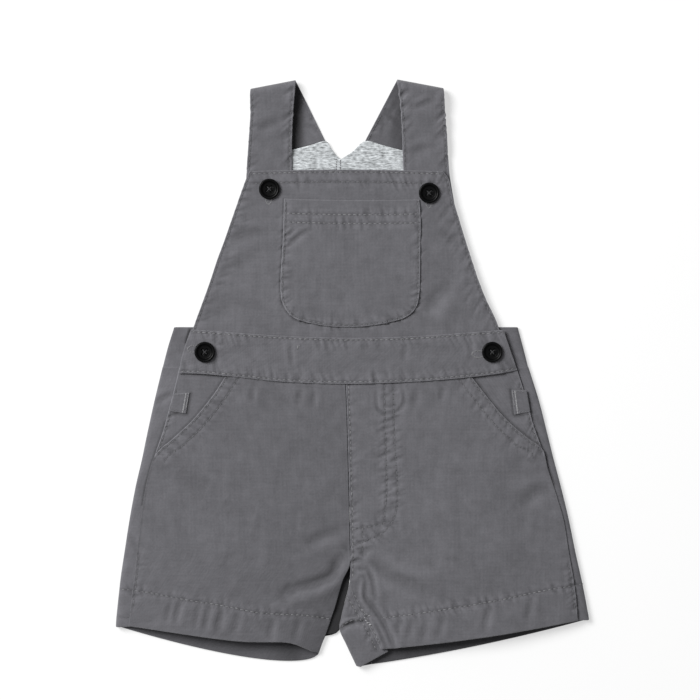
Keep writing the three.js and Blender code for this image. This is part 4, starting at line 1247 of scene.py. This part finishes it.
frame_jobs, bar_jobs, edge_jobs = [], [], []
for name, sizes, tack_end in (("left", TAB_LEFT, 0.7), ("right", TAB_RIGHT, 0.6)):
    bar = inset(sizes, "b", 2.6, 0.05, 0.95)
    tack = inset(sizes, "b", 0.8, 0.05, tack_end)
    tab = ready(lay_out(flat_panel(sizes, level(FRONT_TOP)), (TAB_GRAIN,), TAB_GRAIN))
    # Painted shade along both long edges of each tab
    for side in "ab":
        shade_edge(tab, inset(sizes, side, 0), 0.7, 2)
    cloth_piece("tab_" + name, "side_tab_" + name, [tab], seams=[bar, tack])
    frame_jobs.append((tab, frame_row(sizes, 1.9), SUNK, *TAB_PITCH))
    bar_jobs.append((tab, bar, PALE, *BAR_TACK))
    edge_jobs.append((tab, tack, PALE, *EDGE_TACK))
sew("stitches_tabs", frame_jobs + bar_jobs + edge_jobs)

# Bib and its patch pocket
# The bib runs from its double-stitched top edge to the waistband. The pocket has a rounded foot
# and is sewn on close to its edge, which draws small puckers all round it.
ONLAY_TOP = 7.1
BIB = table(
    "a_x a_y b_x b_y bow_y",
    (-74.8, 147, 66.2, 146.8, -1.3),
    (-77.7, 140.9, 70.4, 140.9, -1),
    (-82.9, 126.3, 73.4, 126.3, 0),
    (-88, 111.7, 77.7, 111.7, 0),
    (-93.1, 97.1, 82.1, 97.1, 0),
    (-98.5, 82.5, 86.8, 82.5, 0),
    (-103.3, 67.9, 91.6, 67.9, 1),
    (-108.5, 53.3, 97.4, 53.3, 2.5),
    (-113.9, 38.7, 104.4, 38.7, 4.5),
    (-117.8, 27.5, 108.5, 27, 6.5),
)
POCKET = table(
    "a_x a_y b_x b_y bow_y",
    (-49.8, 127, 48.8, 126.4, 0.8),
    (-50.2, 110, 49.8, 110, 0),
    (-50.9, 92, 49.5, 92, 0),
    (-52.2, 72, 49.3, 72, 0),
    (-52, 56, 48.6, 56, 0),
    (-48.9, 46.8, 45.8, 46.8, 1),
    (-42.5, 40.2, 38, 40.2, 2),
    (-32, 36.6, 24, 36.4, 3.2),
)
BIB_FOLDS = [
    (((71.5, 70), (62, 57), (50.2, 43.8)), 6, 1.5),
    (((-92, 98), (-76, 101), (-58, 105)), 5, 0.9),
    (((-98, 72), (-82, 80), (-64, 90)), 6, 0.8),
    (((-49.5, 90), (-42, 97.5), (-31, 105.5)), 1.8, 0.9),
    (((-50, 98), (-46, 101.5), (-42, 105.5)), 1.3, 0.6),
    (((-104, 46), (-82, 50), (-60, 44)), 7, 0.7),
    (((62, 104), (72, 98), (80, 95)), 4, 0.6),
]


def row_line(sizes, k, rise, margin=0.0, count=60):
    """Line along row k of a panel, moved up by a rise and a margin short of both sides."""
    share = np.linspace(0, 1, count)
    row = {name: value[k] for name, value in sizes.items()}
    x = row["a_x"] + margin + share * (row["b_x"] - row["a_x"] - 2 * margin)
    y = row["a_y"] + share * (row["b_y"] - row["a_y"]) - row["bow_y"] * 4 * share * (1 - share) + rise
    return np.stack([x, y], -1)


def foot_row(sizes, distance):
    """Line at a distance inside both sides and the foot of a rounded pocket."""
    left, right = (inset(sizes, side, distance, 0.02, 0.97) for side in "ab")
    foot = row_line(sizes, -1, distance, count=30)
    return np.concatenate([left, foot[2:-2], right[::-1]])


bib_rows = [row_line(BIB, 0, -1.8, 1.5), row_line(BIB, 0, -9, 3)]
bib_rows += [inset(BIB, side, ROW_INSET, 0.02, 0.99) for side in "ab"]
POCKET_PULL = {"pitch": 2.5, "reach": 4.2, "lean": 0.15, "height": 1.0}
bib_allowances = [inset(BIB, side, 9.5, 0.09, 0.99) for side in "ab"]
pocket_rows = [foot_row(POCKET, 1.5), row_line(POCKET, 0, -10.6, 1.5), row_line(POCKET, 0, -17, 1.5)]
bib_relief = rippled(bib_rows + pocket_rows[:1], BIB_FOLDS, 90, bib_allowances)
pocket_relief = rippled(pocket_rows, BIB_FOLDS, 140, **POCKET_PULL)
BUTTONHOLE = (0.55, 1.5, 0.5, math.pi / 2)
BIB_HOLES = (
    ((-62.7, 127.2), (-62.9, 125), (-61, 122.8), (-59.1, 125), (-59.3, 127.2)),
    ((54, 124.6), (53.9, 122.2), (55.8, 120), (57.7, 122.2), (57.6, 124.6)),
)
bib = ready(lay_out(flat_panel(BIB, level(FRONT_TOP))), CLOTH, bib_relief)
pocket = ready(lay_out(flat_panel(POCKET, level(ONLAY_TOP))), CLOTH, pocket_relief)
# Painted shade on the bib beside the pocket's left edge, and painted highlights along the pocket's sides
shade_edge(bib, inset(POCKET, "a", -0.5), SEAM_LINE, SEAM_SHADE)
shade_edge(pocket, inset(POCKET, "a", 0.3), HIGHLIGHT_LINE, -2)
shade_edge(pocket, inset(POCKET, "b", 0.5), HIGHLIGHT_LINE, -1.6)
cloth_piece("bib_front", "bib", [bib], seams=bib_rows)
cloth_piece("pocket_on_bib", "bib_pocket", [pocket], seams=pocket_rows)
bib_jobs = [(bib, line, SUNK if k else GREY) for k, line in enumerate(bib_rows)]
sew("stitches_bib", bib_jobs + [(bib, curve(line, 0.5), GREY, *BUTTONHOLE) for line in BIB_HOLES])
sew("stitches_pocket", [(pocket, line, GREY if k else SUNK) for k, line in enumerate(pocket_rows)])

# Front waistband
# A curved band over the bib's foot and the legs' tops, with a row of stitches inside each edge
# and a buttonhole at each end.
BAND_END = 12
BAND_DROP = 1.2
BAND = table(
    "a_x a_y b_x b_y bow_x",
    (-117.4, 31.6, -126.6, -0.3, -1.3),
    (-107, 31, -110, -0.6, 0),
    (-82, 29.1, -84, -3, 0),
    (-55, 27.3, -56, -6, 0),
    (-28, 26.1, -28, -7.5, 0),
    (-2, 25.6, -2, -8, 0),
    (26, 26, 26, -7.3, 0),
    (53, 27.3, 55, -5.8, 0),
    (80, 29.1, 83, -3.4, 0),
    (101, 30.7, 106, -0.6, 0),
    (110, 31.4, 120.2, 2, 0),
)


def band_height(x, y, u, row):
    """Level, and turned down over the last stretch at each end."""
    to_end = np.minimum(x - BAND["b_x"][0], BAND["b_x"][-1] - x) / BAND_END
    return ONLAY_TOP - BAND_DROP * np.maximum(0, 1 - to_end) ** 2


BAND_FOLDS = [
    (((-99.6, 12), (-100, -1)), 1.8, 0.6),
    (((-45.6, 24.5), (-45.2, 14), (-44, 4)), 1.9, 0.6),
    (((-99, 20.5), (-96, 18.3), (-93.5, 20)), 1.4, -0.5),
    (((38, 22), (36.5, 8)), 2.2, 0.4),
    (((84, 24), (86, 16), (84, 9)), 2, 0.5),
]
BAND_HOLES = (
    ((-111.5, 19.4), (-117, 19.9), (-120, 17.5), (-117, 15.2), (-111.5, 15.6)),
    ((95, 15.8), (90, 16.2), (87, 13.8), (90, 11.4), (95, 11.8)),
)
BAND_PULL = {"pitch": 2.9, "reach": 6.5, "height": 1.05}
SLUB = ((-39.3, 20.6), (-40.3, 16.2))
SLUB_STITCH = (3.2, 4.2, 1.5)
band_rows = [inset(BAND, side, ROW_INSET, 0.01, 0.99) for side in "ab"]
band_relief = rippled(band_rows, BAND_FOLDS, 110, **BAND_PULL)
band = ready(lay_out(flat_panel(BAND, band_height)), CLOTH, band_relief)
cloth_piece("waistband", "waistband_front", [band], seams=band_rows)
band_jobs = [(band, line, GREY) for line in band_rows] + [(band, curve(SLUB), GREY, *SLUB_STITCH)]
sew("stitches_waistband", band_jobs + [(band, curve(line, 0.5), GREY, *BUTTONHOLE) for line in BAND_HOLES])

# Straps
# Two straps of doubled cloth, 33 mm wide, sewn to the back bib, folded open over the shoulders
# and buttoned under the top corners of the bib.
STRAP_CLOTH = 1.4
STRAP_FOLD_TOP = 9
STRAP_HEADER = "out_x out_y in_x in_y top"
STRAP_LEFT = table(
    STRAP_HEADER,
    (-78.6, 121, -45.5, 121, 4.5),
    (-77.2, 147, -44.3, 147, 4.5),
    (-75.4, 172, -43.9, 174, 6),
    (-74.4, 188, -42.9, 193, 7.6),
    (-74.5, 197, -42, 203, 8.6),
)
STRAP_LEFT_FOLD = table("out_x out_y in_x in_y", (-74.5, 207.1, -41.4, 213.5), (-52.4, 160.7, -19.8, 169.3))
STRAP_RIGHT = table(
    STRAP_HEADER,
    (74.4, 123, 40.8, 121, 4.5),
    (70.5, 147, 37.2, 147, 4.5),
    (69, 170, 36.3, 172, 6),
    (67.6, 188, 35, 193, 7.6),
    (67, 197.5, 33.8, 203.5, 8.6),
)
STRAP_RIGHT_FOLD = table("out_x out_y in_x in_y", (66.5, 207.6, 32.5, 214), (44.8, 160.3, 9.2, 169.3))


def strap_surface(front, turn):
    """A strap's outer face: t from 0 to 1/3 runs up the front length, to 2/3 round the open fold,
    and to 1 down the back length on the surface. Each half of the fold keeps its length's way."""
    radius = STRAP_FOLD_TOP / 2

    def way_to_fold(rows, k):
        """From a row of a length towards the fold line, as long as the fold's radius."""
        way = {
            c: sum(turn[side + c][0] - rows[side + c][k] for side in ("out_", "in_")) for c in "xy"
        }
        return {c: radius * way[c] / np.hypot(way["x"], way["y"]) for c in "xy"}

    up, back = way_to_fold(front, -1), way_to_fold(turn, 1)
    start = {name: np.append(front[name], turn[name][0] - up[name[-1]]) for name in turn}
    start["top"] = np.append(front["top"], STRAP_FOLD_TOP)

    def surface(t, u):
        rise = read(start, np.clip(3 * t, 0, 1))
        angle = np.pi * (0.5 - np.clip(3 * t - 1, 0, 1))
        down = np.clip(3 * t - 2, 0, 1)
        swing = np.cos(angle)
        line = {}
        for name in turn:
            way_up, way_back = up[name[-1]], back[name[-1]]
            above = rise[name] + swing * way_up
            below = turn[name][0] + (swing - 1 + down) * way_back + down * (turn[name][1] - turn[name][0])
            line[name] = np.where(angle > 0, above, below)
        x = line["out_x"] + u * (line["in_x"] - line["out_x"])
        y = line["out_y"] + u * (line["in_y"] - line["out_y"])
        z = np.where(3 * t < 1, rise["top"], radius + radius * np.sin(angle))
        return np.stack([x, y, z], -1)

    return surface


def edges_of(rows):
    """A strap's lines across as a panel's, from its outer edge a to its inner edge b."""
    return {"a_x": rows["out_x"], "a_y": rows["out_y"], "b_x": rows["in_x"], "b_y": rows["in_y"]}


STRAP_FOLDS = [
    (((45, 193.5), (51, 196), (58, 199.5)), 2.2, 0.7),
    (((-70, 176), (-62, 181), (-52, 184)), 3.5, 0.6),
    (((40, 160), (50, 164), (62, 165)), 3.5, 0.5),
]
BACK_CREASES = [
    (((-33, 180.5), (-29, 179.6), (-25, 175.6)), 2.2, 0.5),
    (((23, 195), (27, 188), (33, 182)), 2.2, 0.8),
    (((31, 196), (26, 187), (24, 178)), 2.0, 0.8),
    (((14, 177), (20, 183), (26, 192)), 1.6, 0.7),
    (((20, 190), (22, 182), (21, 174)), 1.5, 0.6),
]
STRAP_EDGE = 1.7
STRAP_ROW_END = 4
STRAP_PULL = {"pitch": 4.6, "reach": 4.6, "lean": 0.3, "height": 1.35}
# Painted shadow of the raised front length on the back length, and a painted highlight along the front's
# inner edge
STRAP_SHADE = 8.2
STRAP_PAINTED_HIGHLIGHT = 2
STRAP_HIGHLIGHT_WIDTH = 0.7
UNDERSIDE_ROW = (STITCH_PITCH, STITCH_LENGTH, STITCH_WIDTH, 0.0, -1)


def over_the_fold(line):
    """A strap's row with one more point, so that it runs on round the fold."""
    way = line[-1:] - line[:1]
    return np.concatenate([line, line[-1:] + STRAP_ROW_END * way / np.linalg.norm(way)])


strap_jobs = []
# Each strap with the depth of the painted shadow on its back length and a painted shade all over that
# length
for name, sizes, turn, seed, painted_dark, painted_dim in (
    ("left", STRAP_LEFT, STRAP_LEFT_FOLD, 120, 2.3, 0),
    ("right", STRAP_RIGHT, STRAP_RIGHT_FOLD, 130, 0.7, 0.5),
):
    front_rows = [over_the_fold(inset(edges_of(sizes), side, STRAP_EDGE, 0.25)) for side in "ab"]
    back_rows = [inset(edges_of(turn), side, STRAP_EDGE, 0.06, 0.96) for side in "ab"]
    relief = rippled(front_rows, STRAP_FOLDS, seed, **STRAP_PULL)
    strap = ready(lay_out(strap_surface(sizes, turn)), STRAP_CLOTH, relief)
    x, y = strap["points"][..., 0], strap["points"][..., 1]
    uneven = rippled(back_rows, BACK_CREASES, seed + 7)(x, y) - slow_waves(x, y)
    on_floor = np.clip(-face_up(strap["points"])[..., 2], 0, 1)
    strap["thickness"] = STRAP_CLOTH + on_floor * np.clip(uneven, -0.6, 0.8)
    # The back length's ridges paler as wear and painted highlight, its troughs painted dark as shade
    strap["wear_and_painted_light"] += on_floor * np.clip((uneven - smoothed(uneven)) / WEAR_AND_SHADE_DEPTH, -1, 1)
    strap["map"] = np.stack([strap["across"], strap["down"]], -1)
    # Painted shadow that the raised front length throws on the back length, and a painted highlight along
    # the front's inner edge
    away = beside(x, y, inset(edges_of(sizes), "b", 0))[0]
    strap["inside"] = on_floor * (painted_dim + painted_dark * np.exp(-(away / STRAP_SHADE) ** 4))
    strap["wear_and_painted_light"] += (1 - on_floor) * STRAP_PAINTED_HIGHLIGHT * np.exp(-(away / STRAP_HIGHLIGHT_WIDTH) ** 2)
    # Painted shadow of the bib's edge on the right strap
    if name == "right":
        shade_edge(strap, inset(BIB, "b", -0.7, 0, 0.2), 0.9, 3.5)
    cloth_piece("shoulder_strap_" + name, "strap_" + name, [strap], front_rows)
    strap_jobs += [(strap, line, SUNK) for line in front_rows]
    strap_jobs += [(strap, line, SUNK, *UNDERSIDE_ROW) for line in back_rows]
sew("stitches_straps", strap_jobs)

# Buttons
# Four black buttons of 15 mm with a raised rim, a dished middle and four holes, sewn on with
# crossed dark thread.
BUTTON_PROFILE = table(
    "r z",
    (0, 0), (6.6, 0), (7.2, 0.2), (7.5, 0.7), (7.5, 1.6), (7.3, 2.2), (6.8, 2.5), (6.2, 2.45),
    (5.6, 2.1), (5.1, 1.5), (4.5, 1.25), (3, 1.15), (0, 1.1),
)
HOLE_PITCH = 1.55
HOLE_RADIUS = 0.8
HOLE_DEPTH = 1.0
HOLE_ROUND = 0.05
BUTTON_SIDES = 96
BUTTON_RINGS = 110


def button_finish():
    """Glossy black resin with faint clouding and fine scuffs in its polish."""
    finish = Finish("button", Specular_IOR_Level=0.09, Coat_Roughness=0.15)
    place = finish.node("TexCoord", output=OBJECT_PLACE)
    finish.paint((0.0014, 0.0014, 0.0016), finish.noise(place, (500, 500, 500)) * 0.25 + 1.0)
    finish.fill(finish.shader.inputs["Roughness"], finish.noise(place, (1400, 1400, 1400)) * 0.06 + 0.42)
    finish.fill(finish.shader.inputs["Coat Weight"], finish.noise(place, (300, 300, 300)) * 0.02 + 0.04)
    return finish.material


button_material = button_finish()


def button_mesh(name, node):
    """A profile turned round the button's middle, its upper face sunk at the four holes."""
    low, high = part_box(node)
    x, y = (low.x + high.x) / 2 / MM, (low.y + high.y) / 2 / MM
    steps = read(BUTTON_PROFILE, np.linspace(0, 1, BUTTON_RINGS))
    keep = slice(1, -1)
    r = np.maximum(steps["r"][keep], 0.02)
    z = steps["z"][keep]
    turn = 2 * np.pi * np.arange(BUTTON_SIDES) / BUTTON_SIDES
    px, py = r[:, None] * np.cos(turn), r[:, None] * np.sin(turn)
    pz = np.repeat(z[:, None], BUTTON_SIDES, 1)
    for hole_x, hole_y in ((-1, -1), (-1, 1), (1, -1), (1, 1)):
        away = np.hypot(px - hole_x * HOLE_PITCH, py - hole_y * HOLE_PITCH)
        sunk = 1 / (1 + np.exp((away - HOLE_RADIUS) / HOLE_ROUND))
        pz = np.where(pz > 1.0, pz - HOLE_DEPTH * sunk, pz)
    vertices = np.stack([px + x, py + y, pz + low.z / MM], -1).reshape(-1, 3)
    rings = len(r)
    index = np.arange(rings * BUTTON_SIDES).reshape(rings, BUTTON_SIDES)
    after = np.roll(index, -1, axis=1)
    quads = np.stack([index[:-1], after[:-1], after[1:], index[1:]], -1).reshape(-1, 4)
    poles = np.array([[x, y, low.z / MM], [x, y, low.z / MM + steps["z"][-1]]])
    first = np.stack([after[0], index[0], 0 * index[0] + len(vertices)], -1)
    last = np.stack([index[-1], after[-1], 0 * index[-1] + len(vertices) + 1], -1)
    points = np.concatenate([vertices, poles])
    belongs(add_mesh(name, points, [quads, first, last], [button_material]), node)


CROSS_SIZE = np.array([5.2, 0.75, 0.7])
CROSS_LIFT = 0.15
thread_groups = []
for place in ("bib_left", "bib_right", "waist_left", "waist_right"):
    button_mesh("four_hole_button_" + place, "button_" + place)
    low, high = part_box("button_" + place)
    middle = np.array([(low.x + high.x) / 2, (low.y + high.y) / 2, low.z]) / MM
    for turned in (math.pi / 4, -math.pi / 4):
        run = np.array([[math.cos(turned), math.sin(turned), 0]])
        centre = middle[None] + (0, 0, BUTTON_PROFILE["z"][-1] + CROSS_LIFT)
        thread_groups.append((centre, run, np.array([[0, 0, 1.0]]), CROSS_SIZE[None], BLACK))
join_beads("button_threads", thread_groups)
